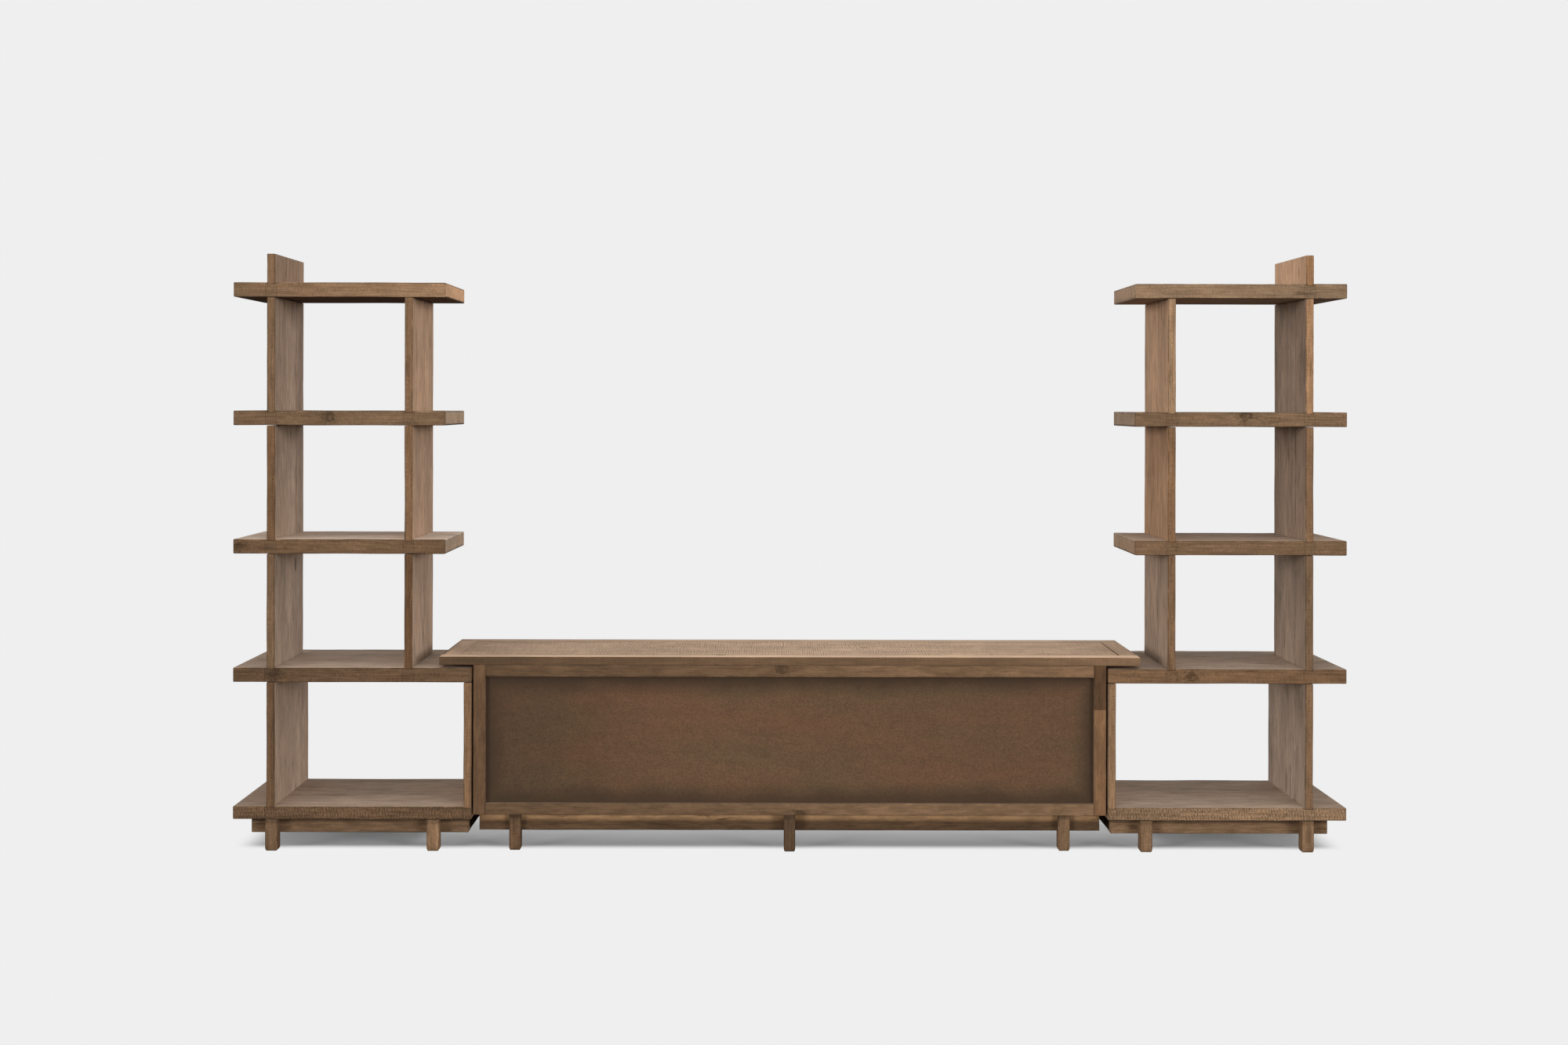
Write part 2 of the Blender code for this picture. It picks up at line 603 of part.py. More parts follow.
def make_door(name, side, carrier, parent):
    """A framed door hung on a side of the carcass; side is -1 at the left and +1 at the right."""
    axis_x = side * (INSIDE_X - DOOR_GAP / 2)
    near_x = side * (INSIDE_X - DOOR_GAP)
    far_x = near_x - side * DOOR_WIDTH
    low_x = min(near_x, far_x)
    axis = guide(f"{name}_axis", (axis_x, HINGE_AXIS_Y, DOOR_BOTTOM))
    inner_xs = (low_x + STILE_WIDTH, low_x + DOOR_WIDTH - STILE_WIDTH)
    reach = DOOR_GROOVE_DEPTH - SEAT_GAP
    middle_y = (DOOR_BACK_Y + BODY_FRONT_Y) / 2
    panel_box = corners((inner_xs[0] - reach, inner_xs[1] + reach),
                        (middle_y - DOOR_PANEL_THICKNESS / 2, middle_y + DOOR_PANEL_THICKNESS / 2),
                        (DOOR_BOTTOM + STILE_WIDTH - reach, DOOR_TOP - STILE_WIDTH + reach))
    board(f"{name}_panel", panel_box, PLANK_PINE, axis, edge=0)
    frame = make_door_frame(name, low_x, axis, grown(panel_box, SEAT_GAP))
    heights = (DOOR_BOTTOM + HINGE_END_DISTANCE, DOOR_TOP - HINGE_END_DISTANCE - HINGE_HEIGHT)
    for word, z in zip(("lower", "upper"), heights):
        hinge = f"{name}_{word}_hinge"
        make_leaf(f"{hinge}_door_leaf", False, -side, axis_x, z, axis)
        make_leaf(f"{hinge}_fixed_leaf", True, side, axis_x, z, parent)
        make_pin(f"{hinge}_pin", axis_x, z, parent)
        carve(frame, gain_cutter(f"{hinge}_door_gain", -side, axis_x, z))
        carve(carrier, gain_cutter(f"{hinge}_fixed_gain", side, axis_x, z))
    knob_x = far_x + side * STILE_WIDTH / 2
    make_knob(f"{name}_knob", knob_x, (DOOR_BOTTOM + DOOR_TOP) / 2, axis)


def make_console():
    """The console with its base, inner shelves and doors."""
    parent = guide("console_unit", (0, 0, 0))
    carcass = make_carcass(parent)
    make_inner_shelves(carcass, parent)
    make_console_base(parent)
    make_door("left_door", -1, carcass["side_left"], parent)
    make_door("right_door", 1, carcass["side_right"], parent)


clear_scene()
PARTS = make_collection("entertainment_center", visible=True)
HIDDEN = make_collection("cutters_and_glued_members", visible=False)
make_bookcase("left_bookcase", -1)
make_console()
make_bookcase("right_bookcase", 1)
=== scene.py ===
import json
import math
import random

import bmesh
import bpy
from bpy.props import FloatProperty, FloatVectorProperty, PointerProperty
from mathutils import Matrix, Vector, noise


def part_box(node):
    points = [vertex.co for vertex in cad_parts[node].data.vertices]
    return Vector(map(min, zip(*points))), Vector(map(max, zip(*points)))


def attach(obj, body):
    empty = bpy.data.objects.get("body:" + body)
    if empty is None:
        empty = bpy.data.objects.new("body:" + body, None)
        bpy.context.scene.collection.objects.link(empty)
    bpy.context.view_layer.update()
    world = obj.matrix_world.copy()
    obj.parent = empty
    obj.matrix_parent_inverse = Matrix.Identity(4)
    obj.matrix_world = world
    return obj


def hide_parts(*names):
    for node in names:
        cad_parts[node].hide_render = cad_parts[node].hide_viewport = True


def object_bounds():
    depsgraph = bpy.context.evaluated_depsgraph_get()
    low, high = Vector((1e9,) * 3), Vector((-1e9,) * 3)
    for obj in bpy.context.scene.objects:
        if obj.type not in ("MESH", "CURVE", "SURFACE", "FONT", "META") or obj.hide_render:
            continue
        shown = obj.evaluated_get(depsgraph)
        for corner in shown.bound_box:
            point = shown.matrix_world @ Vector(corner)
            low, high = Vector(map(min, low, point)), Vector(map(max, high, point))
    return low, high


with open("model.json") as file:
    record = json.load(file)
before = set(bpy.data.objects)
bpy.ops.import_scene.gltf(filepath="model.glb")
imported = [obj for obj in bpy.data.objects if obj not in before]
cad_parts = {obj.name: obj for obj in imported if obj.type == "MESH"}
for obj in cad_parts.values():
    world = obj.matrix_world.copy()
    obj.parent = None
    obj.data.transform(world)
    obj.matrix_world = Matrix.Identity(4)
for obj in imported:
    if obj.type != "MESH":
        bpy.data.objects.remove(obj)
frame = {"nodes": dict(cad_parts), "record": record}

bl_info = {
    "name": "Entertainment Center",
    "version": (1, 0, 0),
    "blender": (4, 5, 0),
    "location": "View3D > Sidebar > Entertainment Center",
    "description": "Dresses the console and its two open bookcases in worn, rough-sawn pine",
    "category": "Add Mesh",
}

CAD_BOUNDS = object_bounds()
SIDES = (("left", -1), ("right", 1))
PHOTO_WIDTH, PHOTO_HEIGHT = 2000, 1333
AIM_ACROSS, AIM_UP = 980, 516   # pixel of the photograph at which the camera looks straight on
SENSOR_WIDTH = 36               # millimetres
STEP = 0.00005                  # between two rows of points that make a sharp step
GROOVE_HALF = 0.0013            # of a glued joint, worn open
GROOVE_DEPTH = 0.0004
END_WEAR = 0.006                # from a board's end to the row of points at which its wear has stopped
LIGHT_WEAR = {"radius": 0.0008, "wear": 0.4}
RAIL_THICKNESS, RAIL_SETBACK, RAIL_LAP = 0.022, 0.030, 0.014
SNUG = 0.0003                   # gap between two boards where one is let into the other
MARGIN = Vector((SNUG, SNUG, SNUG))
WIDE, NARROW, END = range(3)    # kinds of a board's faces
FAR_AWAY = Vector((50.0, 50.0, 50.0))
WELDED = 1e-6                   # points nearer than this are one

# How light each board of the left and the right bookcase is: wide faces, narrow faces and ends;
# and how warm its wide and narrow faces are
BOARD_TONES = {
    "shelf_1": ((0.92, 1.48, 1.24, 0.9, -0.1), (1.0, 1.62, 0.81, 0.0, -0.6)),
    "shelf_2": ((1.0, 1.0, 0.97, -0.35, -0.14), (1.0, 1.09, 0.7, -0.35, -0.18)),
    "shelf_3": ((2.06, 0.87, 0.92, -0.57, 0.15), (1.21, 0.99, 0.72, -0.05, 0.05)),
    "shelf_4": ((1.55, 0.69, 0.9, -0.31, 0.06), (1.33, 1.01, 0.72, -0.26, 0.41)),
    "shelf_5": ((1.23, 0.79, 0.9, -0.08, 0.06), (1.3, 1.52, 0.9, -0.14, -0.32)),
    "outer_post_stub": ((0.75, 1.09, 1.0, 0.68, 0.11), (1.18, 1.68, 1.0, 1.2, 0.85)),
    "outer_post_1": ((1.07, 1.06, 1.0, 0.1, 0.08), (0.8, 1.86, 1.0, 0.13, 0.47)),
    "outer_post_2": ((1.08, 0.85, 1.0, 0.0, 0.68), (0.84, 1.12, 1.0, 0.32, 0.33)),
    "outer_post_3": ((1.06, 0.87, 1.0, -0.12, -0.05), (0.96, 1.04, 1.0, 0.07, -0.03)),
    "outer_post_4": ((1.06, 0.66, 1.0, 0.16, 0.51), (0.97, 1.08, 1.0, -0.05, 0.2)),
    "inner_post_1": ((1.16, 1.18, 1.0, 1.06, 0.28), (1.03, 1.99, 1.0, 1.37, -0.19)),
    "inner_post_2": ((1.0, 0.99, 1.0, 0.8, 0.56), (0.81, 1.17, 1.0, 1.79, 0.6)),
    "inner_post_3": ((0.97, 0.62, 1.0, 0.37, 1.07), (0.84, 1.04, 1.0, 0.26, 0.26)),
    "side_panel": ((1.0, 1.16, 1.0, 0.02, 0.36), (1.0, 1.49, 1.0, -0.23, 0.08)),
}

# How far from the back the planks of each bookcase's uprights are glued
GLUE_LINES = {"left_inner_post": 0.208, "left_outer_post": 0.268, "right_inner_post": 0.150, "right_outer_post": 0.112}

# Pixel of the photograph at which a shelf's large knot shows
SHELF_KNOTS = {"left_2": (419, 532), "left_3": (304, 699), "left_4": (352, 862),
               "right_2": (1590, 529), "right_4": (1520, 862)}

# How light a shelf's narrow faces are at its left and right ends, where they aren't alike
EDGE_FADES = {"left_1": (0.62, 1.20), "left_5": (1.15, 0.92), "right_1": (1.1, 0.9)}

# Azimuth (0 is behind the camera), elevation, and shares of the lamps' level and angle
LAMPS = (
    ("left_lamp", -50, 5, 1.0, 0.4), ("right_lamp", 50, 5, 1.0, 0.4), ("top_lamp", 0, 62, 0.74, 1.0),
    ("far_left_lamp", -125, 6, 0.42, 0.5), ("far_right_lamp", 125, 6, 0.42, 0.5),
)

COLOUR = {"subtype": "COLOR", "size": 3, "min": 0, "max": 1}
LENGTH = {"subtype": "DISTANCE", "unit": "LENGTH"}
TURN = {"subtype": "ANGLE", "unit": "ROTATION"}
SHARE = {"subtype": "FACTOR", "min": 0, "max": 1}


class WoodSettings(bpy.types.PropertyGroup):
    """Colours of the pine and how worn its boards are."""

    # The wide faces' grey cast is partly the weathering of the boards and partly painted sheen
    wide_colour: FloatVectorProperty(
        name="Wide faces", description="Weathered faces of planks and shelves", default=(0.40, 0.285, 0.205), **COLOUR)
    edge_colour: FloatVectorProperty(
        name="Narrow faces", description="Sawn edges of planks, shelves and rails",
        default=(0.226, 0.133, 0.072), **COLOUR)
    end_colour: FloatVectorProperty(
        name="End faces", description="Cut ends of the boards", default=(0.50, 0.325, 0.205), **COLOUR)
    slab_colour: FloatVectorProperty(
        name="Top slab", description="Upper face of the console's top slab",
        default=(0.585, 0.402, 0.272), **COLOUR)
    panel_colour: FloatVectorProperty(
        name="Back panel", description="Smooth stained panel in the console's back",
        default=(0.140, 0.0765, 0.039), **COLOUR)
    dirt_colour: FloatVectorProperty(
        name="Splits and saw marks", description="Dark wax and dirt in splits, pores and saw marks",
        default=(0.030, 0.019, 0.011), **COLOUR)
    arris_radius: FloatProperty(
        name="Arris radius", description="Rounding of a board's long edges where they are least worn",
        min=0.0002, max=0.005, default=0.0016, **LENGTH)
    arris_wear: FloatProperty(
        name="Arris wear", description="How much the rounding grows where the edges are most worn",
        min=0.0, max=0.005, default=0.0022, **LENGTH)
    waviness: FloatProperty(
        name="Waviness", description="How far a board's faces wander inwards along its length",
        min=0.0, max=0.003, default=0.0012, **LENGTH)
    point_pitch: FloatProperty(
        name="Point pitch", description="Distance between rows of points along a board",
        min=0.004, max=0.1, default=0.022, **LENGTH)
    ring_width: FloatProperty(
        name="Ring width", description="Width of one year's growth in the pine",
        min=0.001, max=0.02, default=0.0052, **LENGTH)


class IronSettings(bpy.types.PropertyGroup):
    """Finish of the knobs and hinges."""

    colour: FloatVectorProperty(
        name="Iron", description="Blackened iron of the knobs and hinges", default=(0.050, 0.044, 0.040), **COLOUR)
    rubbed_colour: FloatVectorProperty(
        name="Rubbed iron", description="Paler iron where hands and pins have rubbed it",
        default=(0.22, 0.19, 0.16), **COLOUR)


class StageSettings(bpy.types.PropertyGroup):
    """Camera, floor and light."""

    backdrop_level: FloatProperty(
        name="Backdrop", description="Plain grey level of the floor and backdrop as the camera sees them",
        default=0.863, **SHARE)
    shadow_lift: FloatProperty(
        name="Shadow lift", description="Share of the floor's level that shadows can't take away",
        default=0.125, **SHARE)
    sky_level: FloatProperty(
        name="Sky", description="Level of the even light from all round", min=0, max=2, default=0.40)
    lamp_level: FloatProperty(
        name="Lamps", description="Level of the two soft lamps beside the camera", min=0, max=10, default=1.45)
    floor_bounce: FloatProperty(
        name="Floor bounce", description="Share of the light that the floor sends back up to the furniture",
        default=0.08, **SHARE)
    lamp_angle: FloatProperty(
        name="Lamp size", description="Angle across the top lamp, as the furniture sees it",
        min=0, max=math.pi, default=math.radians(50), **TURN)
    camera_distance: FloatProperty(
        name="Camera distance", description="From the lens to the flush backs", min=1, max=30, default=5.775, **LENGTH)
    camera_height: FloatProperty(
        name="Camera height", description="Of the lens above the floor", min=0.1, max=5, default=1.365, **LENGTH)
    camera_aside: FloatProperty(
        name="Camera aside", description="Of the lens from the middle of the console",
        min=-2, max=2, default=-0.067, **LENGTH)
    camera_roll: FloatProperty(
        name="Camera roll", description="Turn of the camera about its line of sight",
        min=-0.1, max=0.1, default=math.radians(-0.1), **TURN)
    lens: FloatProperty(
        name="Lens", description="Focal length on a 36 mm wide sensor, in millimetres",
        min=10, max=200, default=43.45)


def worked(operation, order=1):
    """A signal's sum, product and so on: a maths node, with the signal first or, in order -1, last."""
    return lambda signal, *others: signal.nodes.math(operation, *(signal, *others)[::order])


class Signal:
    """A value, colour or place that a node puts out; arithmetic with it adds maths nodes."""

    __add__, __sub__, __rsub__ = worked("ADD"), worked("SUBTRACT"), worked("SUBTRACT", -1)
    __mul__, __truediv__, __rtruediv__ = worked("MULTIPLY"), worked("DIVIDE"), worked("DIVIDE", -1)
    __abs__ = worked("ABSOLUTE")

    def __init__(self, nodes, socket):
        self.nodes, self.socket = nodes, socket

    def length(self):
        return self.nodes.signal("ShaderNodeVectorMath", {0: self}, "Value", operation="LENGTH")

    def parts(self):
        return list(self.nodes.signals("ShaderNodeSeparateXYZ", {0: self}).values())

    def ramp(self, start, end, low=0.0, high=1.0):
        """Smooth step from low at start to high at end."""
        inputs = {"Value": self, "From Min": start, "From Max": end, "To Min": low, "To Max": high}
        return self.nodes.signal("ShaderNodeMapRange", inputs, interpolation_type="SMOOTHSTEP")

    def fall(self, start, end):
        """Smooth step from 1 at start down to 0 at end."""
        return self.ramp(start, end, 1.0, 0.0)

    def span(self, low, high):
        """Smooth step from low at 0 to high at 1."""
        return self.ramp(0.0, 1.0, low, high)

    def noise(self, scale=1.0, detail=2.0, roughness=0.5):
        """Smooth noise at this place; a scale of three numbers stretches it along the axes."""
        place, scale = (self * scale, 1.0) if isinstance(scale, tuple) else (self, scale)
        inputs = {"Vector": place, "Scale": scale, "Detail": detail, "Roughness": roughness}
        return self.nodes.signal("ShaderNodeTexNoise", inputs, "Fac", noise_dimensions="3D")


class Nodes:
    """Adds nodes to a tree; an input takes a number, a colour, a socket or a signal."""

    def __init__(self, tree):
        self.tree = tree

    def add(self, kind, inputs, **settings):
        node = self.tree.nodes.new(kind)
        for key, value in settings.items():
            setattr(node, key, value)
        for key, value in inputs.items():
            socket, value = node.inputs[key], getattr(value, "socket", value)
            if isinstance(value, bpy.types.NodeSocket):
                self.tree.links.new(value, socket)
            else:
                socket.default_value = (*value, 1.0) if socket.type == "RGBA" else value
        return node

    def signal(self, kind, inputs, output=0, **settings):
        return Signal(self, self.add(kind, inputs, **settings).outputs[output])

    def signals(self, kind, inputs, **settings):
        return {socket.name: Signal(self, socket) for socket in self.add(kind, inputs, **settings).outputs}

    def math(self, operation, *parts):
        """Result of a maths node, for numbers or for whole colours and places."""
        threefold = any(isinstance(part, tuple) or isinstance(part, Signal) and part.socket.type != "VALUE"
                        for part in parts)
        kind = "ShaderNodeVectorMath" if threefold else "ShaderNodeMath"
        return self.signal(kind, dict(enumerate(parts)), operation=operation)

    def join(self, *parts):
        return self.signal("ShaderNodeCombineXYZ", dict(enumerate(parts)))

    def blend(self, share, first, second):
        """Colour from first to second by a share."""
        return self.signal("ShaderNodeMix", {0: share, 6: first, 7: second}, 2, data_type="RGBA")

    def attribute(self, name, output="Fac"):
        return self.signal("ShaderNodeAttribute", {}, output, attribute_name=name, attribute_type="GEOMETRY")

    def object_place(self):
        return self.signal("ShaderNodeTexCoord", {}, "Object")

    def use(self, name, **inputs):
        """What an effect's group puts out, with its inputs given by name, and _ for a space."""
        named = {key.replace("_", " ").title(): value for key, value in inputs.items()}
        return self.signals("ShaderNodeGroup", named, node_tree=bpy.data.node_groups[name])

    def put_out(self, **results):
        """Make a group's outputs and feed them."""
        for label in results:
            self.tree.interface.new_socket(label, in_out="OUTPUT", socket_type="NodeSocketFloat")
        self.add("NodeGroupOutput", results)


NOWHERE = (0.0, 0.0, 0.0)


def start_group(name, **inputs):
    """Effect group with its inputs: its nodes, then what comes in."""
    tree = bpy.data.node_groups.new(name, "ShaderNodeTree")
    for label, default in inputs.items():
        kind = "NodeSocketVector" if isinstance(default, tuple) else "NodeSocketFloat"
        socket = tree.interface.new_socket(label.replace("_", " "), in_out="INPUT", socket_type=kind)
        socket.default_value = default
    nodes = Nodes(tree)
    return [nodes, *nodes.signals("NodeGroupInput", {}).values()][:len(inputs) + 1]


def make_grain_group():
    """Growth rings about a heart that runs along the board, streaks of stain, fibres and pores along it."""
    nodes, place, ring_width, bend = start_group("pine_grain", Place=NOWHERE, Ring_Width=0.005, Bend=0.02)
    along, across, through = place.parts()
    sway = place.noise((1.6, 7.0, 7.0), 3.0, 0.55) - 0.5
    radius = nodes.join(0.0, across, through).length() + along * 0.012 + sway * bend
    year = nodes.math("FRACT", radius / ring_width)
    streaks = place.noise((1.1, 130.0, 130.0), 4.0, 0.65) * 0.70 + place.noise((0.8, 26.0, 26.0)) * 0.30
    nodes.put_out(
        Ring=year.ramp(0.25, 0.88) * year.fall(0.90, 1.0),
        Streak=streaks.ramp(0.37, 0.63),
        Fibre=place.noise((9.0, 330.0, 330.0), 3.0, 0.6).ramp(0.30, 0.70),
        Pore=place.noise((70.0, 420.0, 420.0), 1.0).ramp(0.66, 0.76))


def make_split_group():
    """Thin splits along the grain, in short stretches."""
    nodes, place, share = start_group("splits", Place=NOWHERE, Share=0.4)
    near = abs(place.noise((2.2, 52.0, 52.0), 3.0, 0.55) - 0.5)
    limit = 1.0 - share
    nodes.put_out(Split=near.fall(0.004, 0.017) * place.noise((6.0, 22.0, 22.0), 3.0).ramp(limit, limit + 0.08))


def make_saw_group():
    """Strokes across the grain that a coarse saw leaves: evenly spaced dark ones in patches, fine ones all over."""
    nodes, place, pitch, length, lean, share = start_group(
        "saw_marks", Place=NOWHERE, Pitch=0.004, Length=0.02, Lean=0.16, Share=0.5)
    along, across, through = place.parts()
    beside = across + through
    row = beside / length
    count = (beside * lean + along) / pitch
    stray = nodes.join(count * 0.35, row, 0.0).noise() - 0.5
    crest = abs(nodes.math("FRACT", stray * 2.2 + count) * 2.0 - 1.0)
    rough = nodes.join(count * 1.9, row * 1.6, 3.0).noise(1.0, 3.0, 0.7) - 0.5
    patch = nodes.join(count * 0.11, row * 1.3, 7.0).noise(1.0, 3.0)
    limit = share * -0.46 + 0.76
    nodes.put_out(
        Mark=(rough * 1.1 + crest).ramp(0.50, 1.0) * patch.ramp(limit, limit + 0.16),
        Ridge=nodes.join(count, row, 0.0).noise(1.7, 2.0, 0.65).ramp(0.30, 0.70))


def make_knot_group():
    """One knot at a known place, and a small one here and there: a ragged dark crescent in swirling grain."""
    nodes, place, offset, size = start_group("knots", Place=NOWHERE, Offset=(9.0, 9.0, 9.0), Size=0.018)
    ragged = place.noise(75.0, 4.0, 0.65) - 0.5
    cells = nodes.signals("ShaderNodeTexVoronoi", {"Vector": place * (4.0, 8.0, 8.0), "Scale": 1.0},
                          voronoi_dimensions="3D", feature="F1")
    rare = cells["Color"].parts()[0].fall(0.90, 0.92)
    reach = ragged * 0.044 + (offset * (0.75, 1.0, 1.0)).length()
    whole = nodes.math("MINIMUM", reach, ragged * 0.016 + cells["Distance"] * 0.16 + rare)
    heart = (ragged * 0.012 + (offset - (0.006, -0.005, -0.005)).length()).ramp(0.005, 0.010)
    swirl = nodes.math("FRACT", reach / 0.0055).ramp(0.45, 0.95) * place.noise(60.0).ramp(0.40, 0.60)
    nodes.put_out(
        Knot=whole.fall(size * 0.6, size) * (heart * 0.72 + 0.28),
        Crack=swirl * reach.fall(size, size * 1.9),
        Pull=whole.fall(0.0, size * 3.2))


def make_wear_group():
    """Wax and dirt left along a board's edges and glued joints, and stretches that hands have rubbed."""
    nodes, place, arris, width = start_group("edge_wear", Place=NOWHERE, Arris=0.05, Width=0.003)
    patch = place.noise((16.0, 60.0, 60.0), 3.0, 0.6)
    uneven = width * patch.ramp(0.30, 0.75, 0.6, 1.9)
    edge = arris.fall(uneven * 0.25, uneven)
    nodes.put_out(Rubbed=edge * patch.ramp(0.55, 0.68), Dirty=edge * patch.ramp(0.46, 0.66, 1.0, 0.25))


def make_cloud_group():
    """Uneven stain: broad clouds, smaller mottling, and a scatter of dark specks."""
    nodes, place, size = start_group("uneven_stain", Place=NOWHERE, Size=0.12)
    scale = 1.0 / size
    stretched = place * (0.4, 1.5, 1.5)
    nodes.put_out(
        Cloud=stretched.noise(scale, 3.0).ramp(0.25, 0.75),
        Mottle=stretched.noise(scale * 5.0, 4.0, 0.65).ramp(0.25, 0.75),
        Speck=place.noise((170.0, 240.0, 240.0), 2.0, 0.55).ramp(0.66, 0.74))


def make_border_group():
    """How near a point is to the border of an upright panel."""
    nodes, place, middle, half_size, width = start_group(
        "border_shade", Place=NOWHERE, Middle=NOWHERE, Half_Size=(1.0, 1.0, 1.0), Width=0.08)
    across, _, up = (half_size - abs(place - middle)).parts()
    nearest = (place.noise(9.0, 3.0) - 0.5) * 0.6 * width + nodes.math("MINIMUM", across, up)
    nodes.put_out(Shade=nearest.fall(0.0, width))


def empty_nodes(block):
    """The nodes of a material or a world, cleared."""
    block.use_nodes = True
    block.node_tree.nodes.clear()
    return Nodes(block.node_tree)


def finish_material(nodes, height, distance, strength, **inputs):
    """Add a material's shader, with its inputs given by name, and the bumps of its surface."""
    bump = nodes.signal("ShaderNodeBump", {"Height": height, "Distance": distance, "Strength": strength})
    named = {key.replace("_", " "): value for key, value in inputs.items()}
    shader = nodes.signal("ShaderNodeBsdfPrincipled", {**named, "Normal": bump})
    nodes.add("ShaderNodeOutputMaterial", {"Surface": shader})


def tinted(colour, *tint):
    """A plain colour times another."""
    return tuple(part * share for part, share in zip(colour, tint))


def make_pine(name, wide, edge, end, ring=0.25, streak=0.42, fibre=0.15, mottle=0.12, saw=(0.0032, 0.03, 0.16, 0.20),
              splits=0.44, grime=0.42, top_shade=0.0, painted_highlight=0.0):
    """Pine for boards that carry their own grain, tones and distances from their edges.

    saw is the pitch, length and lean of the saw's strokes, and how much its fine ones shade the wood.
    splits is the share of the wood with splits in it. grime darkens the edges, top_shade paints shadow over the first
    centimetre under a board's top, and painted_highlight is the height of a painted highlight there.
    """
    wood = bpy.context.scene.center_wood
    nodes = empty_nodes(bpy.data.materials.new(name))
    place = nodes.attribute("grain_place", "Vector")
    on_edge, on_end, sawn, below, warm, tone, arris = map(
        nodes.attribute, ("edge_face", "end_face", "sawn", "below_top", "warmth", "tone", "arris"))
    knot = nodes.use("knots", place=place, offset=nodes.attribute("knot_offset", "Vector"))
    pulled = place + nodes.join(0.0, knot["Pull"] * 0.016, 0.0)
    grain = nodes.use("pine_grain", place=pulled, ring_width=wood.ring_width, bend=0.03)
    split = nodes.use("splits", place=pulled, share=splits)["Split"]
    pitch, length, lean, shade = saw
    marks = nodes.use("saw_marks", place=place, pitch=pitch, length=length, lean=lean, share=sawn)
    mark = marks["Mark"] * sawn.ramp(0.0, 0.4)
    wear = nodes.use("edge_wear", place=place, arris=arris, width=0.0024)
    stain = nodes.use("uneven_stain", place=place, size=0.14)

    colour = nodes.blend(on_end, nodes.blend(on_edge, wide, edge), end)
    greyed = colour * (0.74, 0.83, 0.95)
    colour = nodes.blend(grain["Streak"] * (on_edge * (-0.6 * streak) + streak), colour, greyed)
    colour *= stain["Cloud"].span(1.10, 0.90)
    colour *= stain["Mottle"].span(1.0 + mottle, 1.0 - mottle)
    colour *= grain["Fibre"].span(1.0 - fibre, 1.0 + fibre)
    colour = nodes.blend(grain["Ring"] * ring, colour, colour * (0.60, 0.52, 0.44))
    colour *= (0.5 - marks["Ridge"]) * (on_edge * 0.75 + 0.25) * (on_end * (-2.0 * shade) + 2.0 * shade) + 1.0
    colour *= nodes.join(warm * 0.14 + 1.0, 1.0, warm * -0.13 + 1.0) * tone
    # Painted shadow of the board above, over the first centimetre or so under this board's top
    if top_shade:
        colour *= below.ramp(0.008, 0.018, 1.0 - top_shade, 1.0)
    # Painted highlight: a bright warm strip along the top of the console's back stretcher, where light would catch it
    if painted_highlight:
        strip = below.fall(painted_highlight * 0.25, painted_highlight) * stain["Mottle"].ramp(0.1, 0.8, 1.0, 0.65)
        colour = nodes.blend(strip, colour, (0.60, 0.35, 0.175))
    heart = nodes.blend(grain["Fibre"], (0.044, 0.025, 0.013), (0.110, 0.062, 0.032))
    colour = nodes.blend(knot["Knot"] * 0.7, colour, heart)
    for dirty in (knot["Crack"] * 0.45, grain["Pore"] * 0.30, stain["Speck"] * (on_edge * 0.30 + 0.20), mark * 0.50,
                  split * (on_edge * -0.35 + 0.60), wear["Dirty"] * grime):
        colour = nodes.blend(dirty, colour, wood.dirt_colour)
    colour = nodes.blend(wear["Rubbed"] * 0.5, colour, colour * (1.7, 1.66, 1.6))
    height = (grain["Ring"] * 0.10 + grain["Fibre"] * 0.22 + grain["Streak"] * 0.25 - mark * 0.45
              - marks["Ridge"] * (sawn * 0.8 + 0.15) * 0.6 - split * 0.9 - knot["Crack"] * 0.5)
    finish_material(nodes, height, 0.001, 0.9, Base_Color=colour, Specular_IOR_Level=0.14,
                    Roughness=grain["Fibre"] * -0.10 + 0.86 - wear["Rubbed"] * 0.14)


def make_panel_material():
    """Smooth dark stain on thin board, with painted shade towards its border and its left end, and a fine weave of
    sanding.
    """
    panel_colour = bpy.context.scene.center_wood.panel_colour
    low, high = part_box("console_back_panel")
    nodes = empty_nodes(bpy.data.materials.new("dark_stain"))
    place = nodes.object_place()
    groove = Vector((0.008, 0, 0.008))
    shade = nodes.use("border_shade", place=place, middle=tuple((low + high) / 2),
                      half_size=tuple((high - low) / 2 - groove), width=0.075)["Shade"]
    stain = nodes.use("uneven_stain", place=place, size=0.22)
    red, olive = tinted(panel_colour, 1.12, 0.985, 0.95), tinted(panel_colour, 0.92, 1.0, 0.94)
    weave = (place.noise((420.0, 900.0, 130.0)) + place.noise((110.0, 900.0, 460.0))).ramp(0.7, 1.3, 0.80, 1.20)
    along, third = place.parts()[0], low.x + (high.x - low.x) * 0.36
    colour = nodes.blend(stain["Cloud"], red, olive) * stain["Mottle"].span(0.94, 1.06) * weave
    # Painted shade: darker towards the left end and a little darker towards the right end
    colour *= along.ramp(low.x, third, 0.68, 1.03) * along.ramp(third, high.x, 1.0, 0.93)
    # Painted shade along the border, where the panel sits back behind its frame
    colour = nodes.blend(shade * 0.85, colour, (0.053, 0.029, 0.0145))
    finish_material(nodes, weave, 0.0003, 0.6, Base_Color=colour, Specular_IOR_Level=0.3,
                    Roughness=stain["Cloud"] * 0.10 + 0.62)


